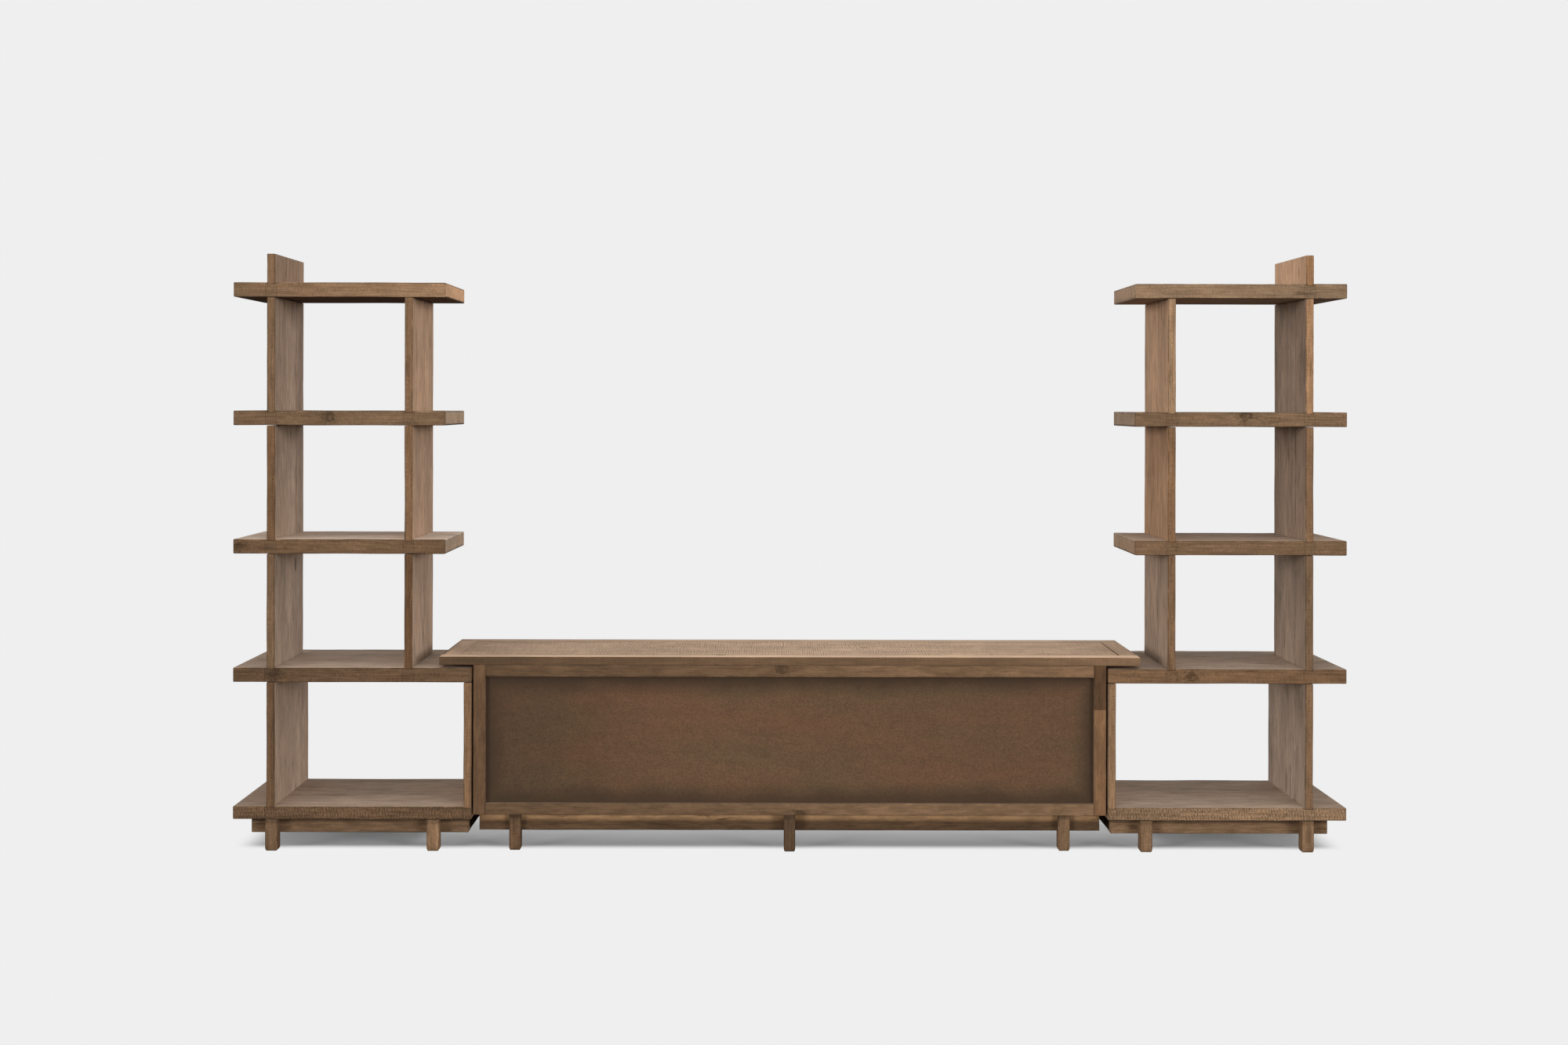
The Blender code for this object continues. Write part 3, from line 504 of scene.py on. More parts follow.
def make_iron():
    """Blackened iron with rubbed places and a hammered skin."""
    iron = bpy.context.scene.center_iron
    nodes = empty_nodes(bpy.data.materials.new("blackened_iron"))
    place = nodes.object_place()
    stain = nodes.use("uneven_stain", place=place, size=0.02)
    skin = place.noise(420.0, 3.0, 0.6)
    colour = nodes.blend(skin.ramp(0.55, 0.75, 0.0, 0.7), iron.colour, iron.rubbed_colour)
    colour = nodes.blend(stain["Speck"] * 0.5, colour, (0.060, 0.028, 0.014))
    finish_material(nodes, skin, 0.0003, 0.5, Base_Color=colour, Metallic=1.0,
                    Roughness=stain["Cloud"].span(0.38, 0.58))


def make_materials():
    """Builds the shared effects and every finish once."""
    if "weathered_pine" in bpy.data.materials:
        return
    for make in (make_grain_group, make_split_group, make_saw_group, make_knot_group,
                 make_wear_group, make_cloud_group, make_border_group):
        make()
    wood = bpy.context.scene.center_wood
    faces = (wood.wide_colour, wood.edge_colour, wood.end_colour)
    slab_edge = tinted(wood.edge_colour, 0.95, 0.95, 0.95)
    make_pine("weathered_pine", *faces)
    make_pine("chattered_pine", *faces, saw=(0.0085, 0.017, 0.16, 0.28), grime=0.3)
    make_pine("weathered_planks", *faces, ring=0.10, streak=0.50, splits=0.52)
    make_pine("mottled_pine", *faces, ring=0.05, streak=0.06, fibre=0.09, mottle=0.19,
              saw=(0.0030, 0.02, 0.16, 0.05), splits=0.36, grime=0.22)
    make_pine("sanded_slab", wood.slab_colour, slab_edge, slab_edge, ring=0.05, streak=0.16, fibre=0.07,
              mottle=0.08, saw=(0.0072, 0.15, 0.0, 0.06), splits=0.3, grime=0.04)
    # top_shade paints the shadow of the board above; the stretcher's painted_highlight paints a bright strip along its
    # top
    for name, looks in (
            ("rail_pine", {"ring": 0.12, "streak": 0.2, "top_shade": 0.5}),
            ("leg_pine", {"ring": 0.12, "streak": 0.3, "top_shade": 0.3}),
            ("worn_stretcher", {"ring": 0.08, "streak": 0.15, "painted_highlight": 0.030})):
        make_pine(name, wood.edge_colour, *faces[1:], mottle=0.2, **looks)
    make_panel_material()
    make_iron()


def seed_of(name):
    """A number that is always the same for a name."""
    return sum((index + 1) * ord(letter) for index, letter in enumerate(name)) % 99991


def wander(place, size, seed):
    """Smooth number from 0 to 1 that changes over about a size."""
    return 0.5 + 0.5 * max(-1.0, min(1.0, 1.6 * noise.noise(Vector((place / size, seed * 0.37, seed * 0.11)))))


def side_lines(half, near, extra, pitch=0.055):
    """Places of the lines of points along one side of a section, between its corners."""
    count = max(1, round(2 * (half - near) / pitch))
    even = [-half + near + index * 2 * (half - near) / count for index in range(count + 1)]
    return sorted([place for place in even if all(abs(place - other) > 0.3 * near for other in extra)]
                  + [place for place in extra if abs(place) < half - 0.5 * near])


def section(halves, radii, lines, arc_steps=3):
    """Points (a, b) around a rounded section, anticlockwise, and the side of each: -b, +a, +b, -a, or 4."""
    half_a, half_b = halves
    points = []
    for side, (sign_a, sign_b) in enumerate(((1, -1), (1, 1), (-1, 1), (-1, -1))):
        for place in lines[side % 2] if side < 2 else lines[side % 2][::-1]:
            points.append((((place, -half_b), (half_a, place), (place, half_b), (-half_a, place))[side], side))
        radius = radii[side]
        for step in range(arc_steps + 1):
            angle = math.radians(-90 + 90 * side) + math.radians(90) * step / arc_steps
            points.append(((sign_a * (half_a - radius) + radius * math.cos(angle),
                            sign_b * (half_b - radius) + radius * math.sin(angle)), 4 if step else side))
    return points


def stations(length, pitch, end_radius, extra):
    """Distances along a board at which its section is drawn, with how far each is drawn in."""
    turns = [math.radians(angle) for angle in (90, 60, 30, 0)]
    rounded = [(end_radius * (1 - math.sin(turn)), end_radius * (1 - math.cos(turn))) for turn in turns]
    inner = length - 2 * end_radius
    count = max(1, round(inner / pitch))
    if inner > 3 * END_WEAR:
        extra = [*extra, end_radius + END_WEAR, length - end_radius - END_WEAR]
    even = [end_radius + index * inner / count for index in range(1, count)]
    middle = [place for place in even if all(abs(place - other) > 0.002 for other in extra)]
    middle += [place for place in extra if end_radius < place < length - end_radius]
    far = [(length - place, inset) for place, inset in reversed(rounded)]
    return rounded + [(place, 0.0) for place in sorted(middle)] + far


def make_board(name, node, box, grain, finish, body="cabinet", slot="rough_pine", tones=(1.0, 1.0, 1.0),
               sawn=(0.0, 0.3, 0.0), seats=(), knot=FAR_AWAY, bands=(), fades=(), joints=(), under=1.0, radius=None,
               end_radius=0.0, wear=1.0, pitch=None):
    """A worn board that fills a box, as a loft of rounded sections along its grain, and stands for a CAD node.

    box is (lowest corner, highest corner) and grain the axis that the grain follows.
    tones are how light the wide faces, the narrow ones and the ends are, then, where they aren't neutral, the
    warmth of the wide and the narrow ones. sawn is for the wide faces, the narrow ones and the ends.
    seats are (low, high, axis, sign): shallow cuts in the face that looks along sign times axis.
    knot is the world place of one large knot. bands are (start, end, factor, face kinds) along the grain.
    fades are how light a kind of face is at the first end and from a share of the length on, and under darkens
    a wide face that looks down, as painted shade. joints are the places across the wide faces at which planks are
    glued.
    """
    wood = bpy.context.scene.center_wood
    low, high = Vector(box[0]), Vector(box[1])
    size, middle = high - low, (low + high) / 2
    wide, thin = sorted((axis for axis in range(3) if axis != grain), key=lambda axis: -size[axis])
    axes = (wide, thin) if (wide - grain) % 3 == 1 else (thin, wide)
    half = [size[axis] / 2 for axis in axes]
    wide_index = axes.index(wide)
    wide_sides = (0, 2) if wide_index == 0 else (1, 3)
    seed = seed_of(name)
    numbers = random.Random(seed)
    offsets = (numbers.uniform(0, 40), numbers.uniform(-0.05, 0.05), numbers.uniform(0.03, 0.10))
    radius = wood.arris_radius if radius is None else radius
    wave, growth = wood.waviness * wear, wood.arris_wear * wear
    near = min(0.011, 0.4 * min(half))
    most = min(radius + growth, 0.85 * near)
    extra, along_cuts = ([], []), []
    for start, end, _, _ in bands:
        along_cuts += (start - low[grain], end - low[grain])
    for seat in seats:
        for corner in seat[:2]:
            for index, axis in enumerate(axes):
                extra[index].extend((corner[axis] - STEP - middle[axis], corner[axis] + STEP - middle[axis]))
            along_cuts += (corner[grain] - low[grain] - STEP, corner[grain] - low[grain] + STEP)
    grooves = [place - middle[wide] for place in joints]
    for place in grooves:
        extra[wide_index].extend((place - GROOVE_HALF, place, place + GROOVE_HALF))
    lines = [side_lines(half[index], near, sorted(extra[index])) for index in range(2)]
    rows = stations(size[grain], pitch or wood.point_pitch, max(radius, end_radius, 0.0008), along_cuts)

    shape = bmesh.new()
    point_layers = [shape.verts.layers.float_vector.new(layer) for layer in ("grain_place", "knot_offset")]
    point_layers += [shape.verts.layers.float.new(layer) for layer in ("arris", "below_top")]
    face_layers = [shape.faces.layers.float.new(layer)
                   for layer in ("tone", "edge_face", "end_face", "sawn", "warmth")]
    order = (grain, wide, thin)

    def corner_point(point, arris):
        new = shape.verts.new(point)
        place = Vector([(point - middle)[axis] + offset for axis, offset in zip(order, offsets)])
        from_knot = Vector([(point - knot)[axis] for axis in order])
        for layer, value in zip(point_layers, (place, from_knot, arris, high.z - point.z)):
            new[layer] = value
        return new

    def paint(surface, kind, place):
        first, last, reach = dict(fades).get(kind, (1.0, 1.0, 1.0))
        tone = tones[kind] * (first + (last - first) * min(1.0, (place - low[grain]) / size[grain] / reach))
        for start, end, factor, kinds in bands:
            if kind in kinds and start < place < end:
                tone *= factor
        surface.normal_update()
        # Painted shade: a wide face that looks down is darkened by under
        if kind == WIDE and surface.calc_center_median().z < middle.z:
            tone *= under
        warmth = (*tones, 0.0, 0.0)[4 if kind == NARROW else 3]
        for layer, value in zip(face_layers, (tone, kind == NARROW, kind == END, sawn[kind], warmth)):
            surface[layer] = float(value)

    rings = []
    for along, inset in rows:
        place = low[grain] + along
        drawn = [[wave * wander(place, 0.16, seed + 7 * index + 3 * sign) + inset for sign in (0, 1)]
                 for index in range(2)]
        radii = []
        for corner in range(4):
            worn = wander(place, 0.05, seed + 31 + corner) ** 2
            chip = max(0.0, wander(place, 0.018, seed + 57 + corner) - 0.90) * 8.0
            grown = radius + growth * (0.7 * worn + chip)
            radii.append(max(0.3 * radius, min(grown, most) - inset))
        ring = []
        for spot, side in section(half, radii, lines):
            point = middle.copy()
            point[grain] = place
            for index, axis in enumerate(axes):
                reach = spot[index]
                inward = drawn[index][0 if reach > 0 else 1] * min(1.0, abs(reach) / (half[index] * 0.9))
                point[axis] += reach - math.copysign(inward, reach)
            arris = 0.0 if side == 4 else abs(half[side % 2] - abs(spot[side % 2]))
            for groove in grooves if side in wide_sides else ():
                distance = abs(spot[wide_index] - groove)
                arris = min(arris, max(0.0, distance - GROOVE_HALF))
                if distance < GROOVE_HALF / 2:
                    point[thin] -= math.copysign(GROOVE_DEPTH, point[thin] - middle[thin])
            for seat_low, seat_high, axis, sign in seats:
                if all(seat_low[other] <= point[other] <= seat_high[other] for other in range(3) if other != axis):
                    nearer, cut = (min, seat_low) if sign > 0 else (max, seat_high)
                    point[axis] = nearer(point[axis], cut[axis])
            ring.append((corner_point(point, min(arris, along, size[grain] - along)), side))
        rings.append((place, ring))

    count = len(rings[0][1])
    around = [(index, (index + 1) % count) for index in range(count)]
    for (place, ring), (next_place, next_ring) in zip(rings, rings[1:]):
        for index, after in around:
            surface = shape.faces.new((ring[index][0], ring[after][0], next_ring[after][0], next_ring[index][0]))
            surface.smooth = True
            paint(surface, WIDE if ring[index][1] in wide_sides else NARROW, (place + next_place) / 2)
    for (_, ring), turn in ((rings[0], -1), (rings[-1], 1)):
        inner = []
        for new, _ in ring:
            point = new.co.copy()
            for axis in axes:
                offset = point[axis] - middle[axis]
                point[axis] -= math.copysign(min(near, abs(offset)), offset)
            inner.append(corner_point(point, near))
        for index, after in around:
            corners = [ring[index][0], ring[after][0], inner[after], inner[index]]
            if (inner[index].co - inner[after].co).length < WELDED:
                corners.pop(2)
            paint(shape.faces.new(corners[::turn]), END, 0.0)
        paint(shape.faces.new(inner[::turn]), END, 0.0)
    bmesh.ops.remove_doubles(shape, verts=shape.verts, dist=WELDED)
    bmesh.ops.recalc_face_normals(shape, faces=shape.faces)
    mesh = bpy.data.meshes.new(name)
    shape.to_mesh(mesh)
    shape.free()
    mesh.set_sharp_from_angle(angle=math.radians(40))
    mesh.materials.append(bpy.data.materials[finish])
    board = bpy.data.objects.new(name, mesh)
    bpy.context.scene.collection.objects.link(board)
    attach(board, body)
    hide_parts(node)
    return board


def node_board(node, grain, finish, **looks):
    """A worn board in the place of one CAD node."""
    body = next(name for name, members in frame["record"]["behaviour"]["bodies"].items() if node in members)
    slot = next(row["material_slot"] for row in frame["record"]["subparts"] if row["node"] == node)
    make_board(node + "_board", node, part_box(node), grain, finish, body, slot, **looks)


def make_rails(unit, node, ends, crossing, places, depth, back_looks=(), **looks):
    """Long rails along the back and the front of a base, and the crossing ones that are lapped into them."""
    low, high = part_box(node)
    back, front = low.y + RAIL_SETBACK, high.y - RAIL_SETBACK
    rails = [("back_rail", ends, (back, back + RAIL_THICKNESS), 0, dict(back_looks)),
             ("front_rail", ends, (front - RAIL_THICKNESS, front), 0, {})]
    rails += [(f"{crossing}_{number}", (x, x + RAIL_THICKNESS), (back + RAIL_LAP, front - RAIL_LAP), 1, {})
              for number, x in enumerate(places, 1)]
    for name, xs, ys, grain, own_looks in rails:
        inset = SNUG * grain
        box = ((xs[0], ys[0], high.z - depth + inset), (xs[1], ys[1], high.z - inset))
        make_board(f"{unit}_{name}", node, box, grain, **{"finish": "rail_pine", **own_looks, **looks})


def make_legs(prefix, node, width, columns, chamfer=0.004):
    """Two rows of square legs, with their lower edges chamfered and rubbed pale.

    columns are (x, how far both legs are set back, tones).
    """
    base_low, base_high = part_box(node)
    for column, (x, setback, tones) in enumerate(columns):
        for row, y in enumerate((base_low.y + setback, base_high.y - setback - width)):
            low, high = Vector((x, y, 0.0)), Vector((x + width, y + width, base_high.z - SNUG))
            middle = (low + high) / 2
            leg = make_board(f"{prefix}_{column}_{row}", node, (low, high), 2, "leg_pine", tones=tones,
                             sawn=(0.2, 0.2, 0.3), wear=0.6, radius=0.0012)
            for vertex in leg.data.vertices:
                most = width / 2 - max(0.0, chamfer - vertex.co.z)
                for axis in (0, 1):
                    offset = vertex.co[axis] - middle[axis]
                    vertex.co[axis] = middle[axis] + max(-most, min(most, offset))


def world_at(across, up):
    """World place on the flush backs that a pixel of the photograph shows."""
    stage = bpy.context.scene.center_stage
    scale = stage.lens / SENSOR_WIDTH * PHOTO_WIDTH / stage.camera_distance
    return Vector((stage.camera_aside + (across - AIM_ACROSS) / scale, CAD_BOUNDS[0][1],
                   stage.camera_height - (up - AIM_UP) / scale))


def leaf_seats(word, leaf, sign):
    """Cuts in the edge of a door or a side for its two hinge leaves, open at the front."""
    seats = []
    for level in ("lower", "upper"):
        low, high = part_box(f"{word}_door_{level}_hinge_{leaf}_leaf")
        seats.append((low - MARGIN, high + MARGIN + Vector((0, 0.01, 0)), 0, sign))
    return seats


def crossings(uprights):
    """Bands on a shelf's edge where the uprights cross it: a slightly darker patch between two fine lines."""
    bands, beyond, line = [], 0.005, 0.0014
    for low, high in uprights:
        start, end = low.x - beyond, high.x + beyond
        bands += ((start, end, 0.93), (start, start + line, 0.62), (end - line, end, 0.62))
    return [(*band, (NARROW,)) for band in bands]


def shaded_overhangs(shelf, outer, inner):
    """Bands where a shelf passes the uprights that stand on it, with painted shade that makes the top a little darker.
    """
    left, right = sorted(((outer[0].x, outer[1].x, 0.76), (inner[0].x, inner[1].x, 0.78)))
    return [(shelf[0].x, left[0], left[2], (WIDE,)), (right[1], shelf[1].x, right[2], (WIDE,))]


class CENTER_OT_shelves(bpy.types.Operator):
    """Make the five shelves of each bookcase"""

    bl_idname = "entertainment_center.shelves"
    bl_label = "Bookcase Shelves"

    def execute(self, context):
        make_materials()
        standing = {1: ("outer_post_stub",), 5: ("outer_post_4", "side_panel")}
        for word, side in SIDES:
            for number in range(1, 6):
                names = standing.get(number, (f"outer_post_{number - 1}", f"inner_post_{number - 1}"))
                node, key, lowest = f"{word}_bookcase_shelf_{number}", f"{word}_{number}", number == 5
                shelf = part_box(node)
                uprights = [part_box(f"{word}_bookcase_{name}") for name in names]
                node_board(node, 0, "chattered_pine" if lowest else "weathered_pine",
                           tones=BOARD_TONES[f"shelf_{number}"][side > 0], sawn=(0.15, 1.0 if lowest else 0.35, 0.2),
                           seats=[(low - MARGIN, high + MARGIN, 2, 1) for low, high in uprights],
                           bands=crossings(uprights) + (shaded_overhangs(shelf, *uprights) if number > 3 else []),
                           fades={NARROW: (*EDGE_FADES.get(key, (1.0, 1.0)), 1.0)}, joints=(shelf[0].y + 0.19,),
                           # under paints shade on the shelves' undersides
                           under=1.15 if key == "right_1" else 0.36, end_radius=0.0035,
                           knot=world_at(*SHELF_KNOTS[key]) if key in SHELF_KNOTS else FAR_AWAY)
        return {"FINISHED"}


class CENTER_OT_uprights(bpy.types.Operator):
    """Make the posts, stubs and side panels of both bookcases"""

    bl_idname = "entertainment_center.uprights"
    bl_label = "Bookcase Uprights"

    def execute(self, context):
        make_materials()
        for word, side in SIDES:
            for name in [name for name in BOARD_TONES if "shelf" not in name]:
                node, key = f"{word}_bookcase_{name}", f"{word}_{name}"[:-2]
                joints = (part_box(node)[0].y + GLUE_LINES[key],) if key in GLUE_LINES else ()
                node_board(node, 2, "weathered_planks", tones=BOARD_TONES[name][side > 0], sawn=(0.05, 0.25, 0.4),
                           joints=joints)
        return {"FINISHED"}


class CENTER_OT_bookcase_bases(bpy.types.Operator):
    """Make the rails and feet under both bookcases"""

    bl_idname = "entertainment_center.bookcase_bases"
    bl_label = "Bookcase Bases"

    def execute(self, context):
        make_materials()
        foot = 0.038
        for word, side in SIDES:
            unit, node = f"{word}_bookcase", f"{word}_bookcase_base"
            inner, outer = sorted((place.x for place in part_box(f"{unit}_shelf_5")), key=abs)
            ends = sorted((inner + side * 0.014, outer - side * 0.050))
            make_rails(unit, node, ends, "end_rail", (ends[0], ends[1] - RAIL_THICKNESS), 0.0465,
                       tones=(1.0 if side < 0 else 1.3, 0.9, 0.8), sawn=(0.4, 0.4, 0.4))
            starts = (inner + side * 0.099, outer - side * 0.137)
            levels = (1.31, 1.03) if side < 0 else (1.2, 1.2)
            make_legs(f"{unit}_foot", node, foot, [(min(start, start + side * foot), 0.0, (level, level, 0.8))
                                                   for start, level in zip(starts, levels)])
        return {"FINISHED"}


class CENTER_OT_carcass(bpy.types.Operator):
    """Make the console's sides, decks, partitions and inner shelves"""

    bl_idname = "entertainment_center.carcass"
    bl_label = "Console Carcass"

    def execute(self, context):
        make_materials()
        for word, side in SIDES:
            tones = (0.9, 0.69, 0.9, 0.3, 0.3) if side < 0 else (0.9, 1.04, 0.9, 0.5, 0.75)
            bands = ((0.434, 2.0, 0.44, (WIDE, NARROW)),) if side > 0 else ()
            node_board(f"console_side_{word}", 2, "mottled_pine", tones=tones, sawn=(0.05, 0.1, 0.3),
                       seats=leaf_seats(word, "fixed", -side), bands=bands, **LIGHT_WEAR)
            node_board(f"console_partition_{word}", 2, "weathered_pine", sawn=(0.1, 0.3, 0.3), pitch=0.04)
        # under paints shade on the bottom deck's underside
        node_board("console_bottom_deck", 0, "mottled_pine", tones=(0.5, 0.79, 0.9, 0.2, 0.0), sawn=(0.1, 0.15, 0.3),
                   under=0.3, fades={NARROW: (0.88, 1.45, 1.0)}, knot=world_at(1020, 1040), **LIGHT_WEAR)
        node_board("console_subtop", 0, "mottled_pine", tones=(0.85, 1.12, 0.9, 0.1, 0.1), sawn=(0.05, 0.1, 0.3),
                   fades={NARROW: (0.54, 0.95, 1.0)}, knot=world_at(998, 853), **LIGHT_WEAR)
        for word in ("left", "middle", "right"):
            node_board(f"console_inner_shelf_{word}", 0, "weathered_pine", sawn=(0.15, 0.3, 0.3), pitch=0.04)
        return {"FINISHED"}


class CENTER_OT_top_slab(bpy.types.Operator):
    """Make the console's top slab from a rough-sawn field and smooth border boards"""

    bl_idname = "entertainment_center.top_slab"
    bl_label = "Top Slab"

    border: FloatProperty(
        name="Border", description="Width of the smooth boards around the slab's field",
        min=0.02, max=0.15, default=0.058, **LENGTH)

    def execute(self, context):
        make_materials()
        low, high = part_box("console_top_slab")
        border, gap = self.border, 0.0001
        field_low, field_high = low.y + border, high.y - border
        boards = {
            "back_border": ((low.x, low.y), (high.x, field_low - gap), 0, 0.05, 1.32),
            "front_border": ((low.x, field_high + gap), (high.x, high.y), 0, 0.05, 0.93),
            "left_border": ((low.x, field_low), (low.x + border, field_high), 1, 0.1, 0.86),
            "right_border": ((high.x - border, field_low), (high.x, field_high), 1, 0.1, 0.93),
            "field": ((low.x + border + gap, field_low), (high.x - border - gap, field_high), 0, 0.95, 1.02),
        }
        for name, (start, end, grain, sawn, tone) in boards.items():
            make_board(f"top_slab_{name}", "console_top_slab", ((*start, low.z), (*end, high.z)), grain,
                       "sanded_slab", slot="slab_pine", tones=(tone, 0.93, 1.0), sawn=(sawn, 0.1, 0.2),
                       fades={NARROW: (0.62, 1.15, 1.0), WIDE: (1.0, 1.0, 1.0) if grain else (0.82, 1.0, 0.58)},
                       radius=0.0005, wear=0.15)
        return {"FINISHED"}


class CENTER_OT_console_base(bpy.types.Operator):
    """Make the rails and six legs under the console"""

    bl_idname = "entertainment_center.console_base"
    bl_label = "Console Base"

    def execute(self, context):
        make_materials()
        node = "console_base"
        low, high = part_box(node)
        make_rails("console", node, (low.x, high.x), "cross_rail",
                   (low.x, -RAIL_THICKNESS / 2, high.x - RAIL_THICKNESS), 0.053,
                   {"finish": "worn_stretcher", "knot": world_at(902, 1048)},
                   tones=(0.52, 0.52, 0.8, 0.3, 0.3), sawn=(0.2, 0.1, 0.3))
        make_legs("console_leg", node, 0.036, (
            (-0.858, 0.015, (0.67, 0.67, 0.7, 0.2, 0.2)), (-0.018, 0.0, (0.5, 0.5, 0.8, 0.1, 0.1)),
            (0.822, 0.015, (1.17, 1.17, 0.7))))
        return {"FINISHED"}


class CENTER_OT_doors(bpy.types.Operator):
    """Make the stiles, rails and panels of both doors"""

    bl_idname = "entertainment_center.doors"
    bl_label = "Doors"

    def execute(self, context):
        make_materials()
        stile, gap = 0.062, 0.0002
        for word, side in SIDES:
            node = f"{word}_door_frame"
            low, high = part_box(node)
            hinge_x, free_x = (high.x - stile, low.x) if side > 0 else (low.x, high.x - stile)
            rail_ends = low.x + stile + gap, high.x - stile - gap
            plain, dull = (1.0, 1.0, 1.0), (0.95, 0.95, 0.95)
            members = {
                "hinge_stile": ((hinge_x, hinge_x + stile), (low.z, high.z), 2, plain, leaf_seats(word, "door", side)),
                "free_stile": ((free_x, free_x + stile), (low.z, high.z), 2, plain, ()),
                "lower_rail": (rail_ends, (low.z, low.z + stile), 0, dull, ()),
                "upper_rail": (rail_ends, (high.z - stile, high.z), 0, dull, ()),
            }
            for name, (xs, zs, grain, tones, seats) in members.items():
                box = ((xs[0], low.y, zs[0]), (xs[1], high.y, zs[1]))
                make_board(f"{word}_door_{name}", node, box, grain, "weathered_pine", f"{word}_door", tones=tones,
                           sawn=(0.12, 0.3, 0.3), seats=seats, **LIGHT_WEAR)
            node_board(f"{word}_door_panel", 2, "weathered_planks", tones=(0.95, 1.0, 1.0), sawn=(0.35, 0.3, 0.3),
                       wear=0.3)
        return {"FINISHED"}


class CENTER_OT_finishes(bpy.types.Operator):
    """Finish the back panel, hinges and knobs, which keep the frame's own shapes"""

    bl_idname = "entertainment_center.finishes"
    bl_label = "Panel and Ironwork"

    def execute(self, context):
        make_materials()
        for node in frame["nodes"].values():
            if not node.hide_render:
                finish = "dark_stain" if node.name == "console_back_panel" else "blackened_iron"
                for slot in node.material_slots:
                    slot.material = bpy.data.materials[finish]
        return {"FINISHED"}


def sun(name, azimuth, elevation, strength, angle):
    """Soft lamp from far away."""
    light = bpy.data.lights.new(name, "SUN")
    light.energy = strength
    light.angle = angle
    lamp = bpy.data.objects.new(name, light)
    turn, rise = math.radians(azimuth), math.radians(elevation)
    towards = Vector((math.sin(turn) * math.cos(rise), -math.cos(turn) * math.cos(rise), math.sin(rise)))
    lamp.rotation_euler = towards.to_track_quat("Z", "Y").to_euler()
    bpy.context.scene.collection.objects.link(lamp)


def make_floor(stage):
    """Pale floor that keeps shadows under the furniture, lifted by painted light deeper under the console, and meets
    the backdrop without a line.
    """
    bpy.ops.mesh.primitive_grid_add(x_subdivisions=8, y_subdivisions=8, size=120, location=(0, 0, 0))
    floor = bpy.context.object
    floor.name = "studio_floor"
    material = bpy.data.materials.new("studio_floor")
    nodes = empty_nodes(material)
    level = stage.backdrop_level
    full = stage.sky_level + sum(math.sin(math.radians(elevation)) * share * stage.lamp_level / math.pi
                                 for _, _, elevation, share, _ in LAMPS)
    lit = level * (1 - stage.shadow_lift) / full
    grey = (level, level, level)
    shadowed = nodes.signal("ShaderNodeAddShader", {
        0: nodes.signal("ShaderNodeBsdfDiffuse", {"Color": (lit, lit, lit)}),
        1: nodes.signal("ShaderNodeEmission", {"Color": grey, "Strength": stage.shadow_lift}),
    })
    clear = nodes.signal("ShaderNodeEmission", {"Color": grey, "Strength": 1.0})
    low, high = CAD_BOUNDS
    across, depth, _ = nodes.object_place().parts()
    aside = abs(across)
    # The floor shows its shadow only under the furniture; deeper under the console painted light lifts that shadow
    under = (aside - high.x).fall(-0.10, 0.03) * depth.ramp(low.y + 0.020, low.y + 0.090)
    under *= depth.fall(high.y, high.y + 0.20)
    painted_light_far_under = depth.ramp(low.y + 0.05, low.y + 0.30, 1.0, 0.72)
    under *= nodes.math("MAXIMUM", painted_light_far_under, aside.ramp(0.92, 1.20))
    seen = nodes.signal("ShaderNodeMixShader", {0: under, 1: clear, 2: shadowed})
    unseen = nodes.signal("ShaderNodeBsdfDiffuse", {"Color": (stage.floor_bounce,) * 3})
    direct = nodes.signal("ShaderNodeLightPath", {}, "Is Camera Ray")
    mixed = nodes.signal("ShaderNodeMixShader", {0: direct, 1: unseen, 2: seen})
    nodes.add("ShaderNodeOutputMaterial", {"Surface": mixed})
    floor.data.materials.append(material)


def make_world(stage):
    """Even light from all round, and the plain backdrop that the camera sees."""
    world = bpy.data.worlds.new("studio")
    bpy.context.scene.world = world
    nodes = empty_nodes(world)
    direct = nodes.signal("ShaderNodeLightPath", {}, "Is Camera Ray")
    level = direct.span(stage.sky_level, stage.backdrop_level)
    background = nodes.signal("ShaderNodeBackground", {"Color": (1.0, 1.0, 1.0), "Strength": level})
    nodes.add("ShaderNodeOutputWorld", {"Surface": background})


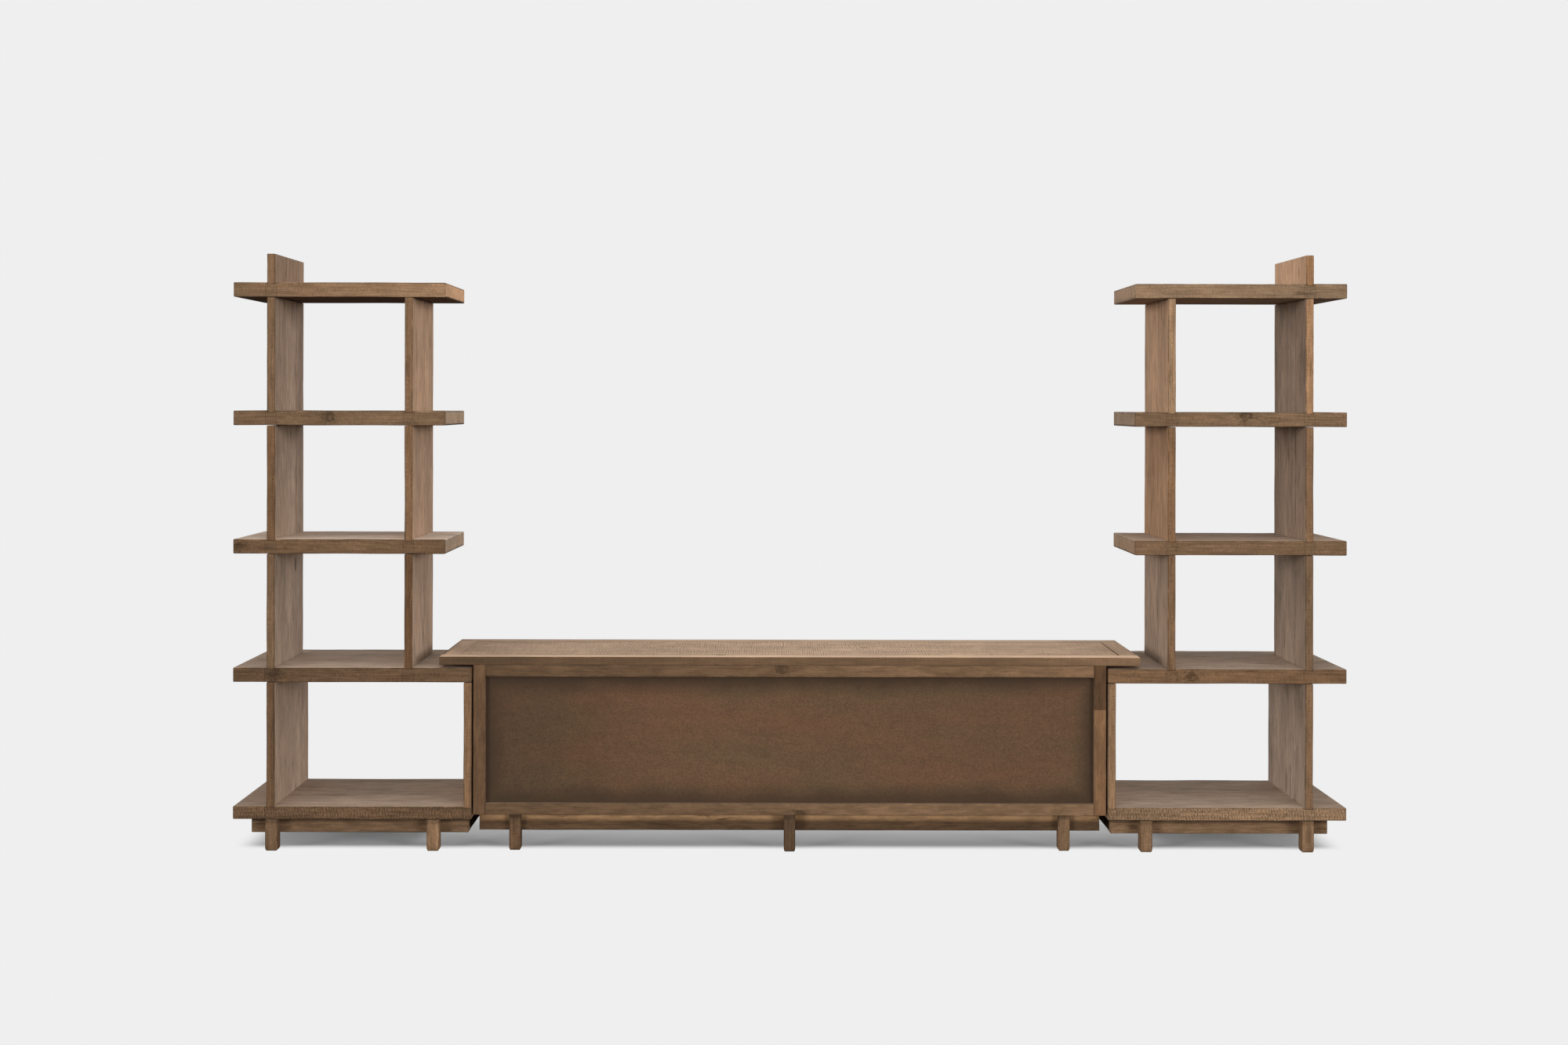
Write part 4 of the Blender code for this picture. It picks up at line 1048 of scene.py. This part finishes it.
class CENTER_OT_stage(bpy.types.Operator):
    """Set up the camera, floor and studio light"""

    bl_idname = "entertainment_center.stage"
    bl_label = "Stage"

    def execute(self, context):
        scene = context.scene
        stage = scene.center_stage
        lens = bpy.data.cameras.new("camera")
        lens.lens = stage.lens
        lens.sensor_width = SENSOR_WIDTH
        lens.sensor_fit = "HORIZONTAL"
        lens.shift_x = (PHOTO_WIDTH / 2 - AIM_ACROSS) / PHOTO_WIDTH
        lens.shift_y = (AIM_UP - PHOTO_HEIGHT / 2) / PHOTO_WIDTH
        lens.clip_end = 300
        camera = bpy.data.objects.new("camera", lens)
        camera.location = (stage.camera_aside, CAD_BOUNDS[0][1] - stage.camera_distance, stage.camera_height)
        camera.rotation_euler = (math.radians(90), stage.camera_roll, 0)
        scene.collection.objects.link(camera)
        scene.camera = camera
        for name, azimuth, elevation, share, spread in LAMPS:
            sun(name, azimuth, elevation, share * stage.lamp_level, spread * stage.lamp_angle)
        make_floor(stage)
        make_world(stage)
        scene.view_settings.view_transform = "Standard"
        return {"FINISHED"}


OPERATORS = (
    CENTER_OT_shelves, CENTER_OT_uprights, CENTER_OT_bookcase_bases, CENTER_OT_carcass, CENTER_OT_top_slab,
    CENTER_OT_console_base, CENTER_OT_doors, CENTER_OT_finishes, CENTER_OT_stage,
)


class CENTER_PT_panel(bpy.types.Panel):
    """Sidebar panel that lists the settings and the pieces"""

    bl_idname = "CENTER_PT_panel"
    bl_label = "Entertainment Center"
    bl_space_type = "VIEW_3D"
    bl_region_type = "UI"
    bl_category = "Entertainment Center"

    def draw(self, context):
        for settings in (context.scene.center_wood, context.scene.center_iron, context.scene.center_stage):
            box = self.layout.box()
            for name in settings.__annotations__:
                box.prop(settings, name)
        for operator in OPERATORS:
            self.layout.operator(operator.bl_idname)


CLASSES = (WoodSettings, IronSettings, StageSettings, *OPERATORS, CENTER_PT_panel)
SETTINGS = (("center_wood", WoodSettings), ("center_iron", IronSettings), ("center_stage", StageSettings))


def register():
    for kind in CLASSES:
        bpy.utils.register_class(kind)
    for name, kind in SETTINGS:
        setattr(bpy.types.Scene, name, PointerProperty(type=kind))


def unregister():
    for name, _ in SETTINGS:
        delattr(bpy.types.Scene, name)
    for kind in reversed(CLASSES):
        bpy.utils.unregister_class(kind)


def main():
    register()
    for operator in OPERATORS:
        family, action = operator.bl_idname.split(".")
        getattr(getattr(bpy.ops, family), action)()


if __name__ == "__main__":
    main()
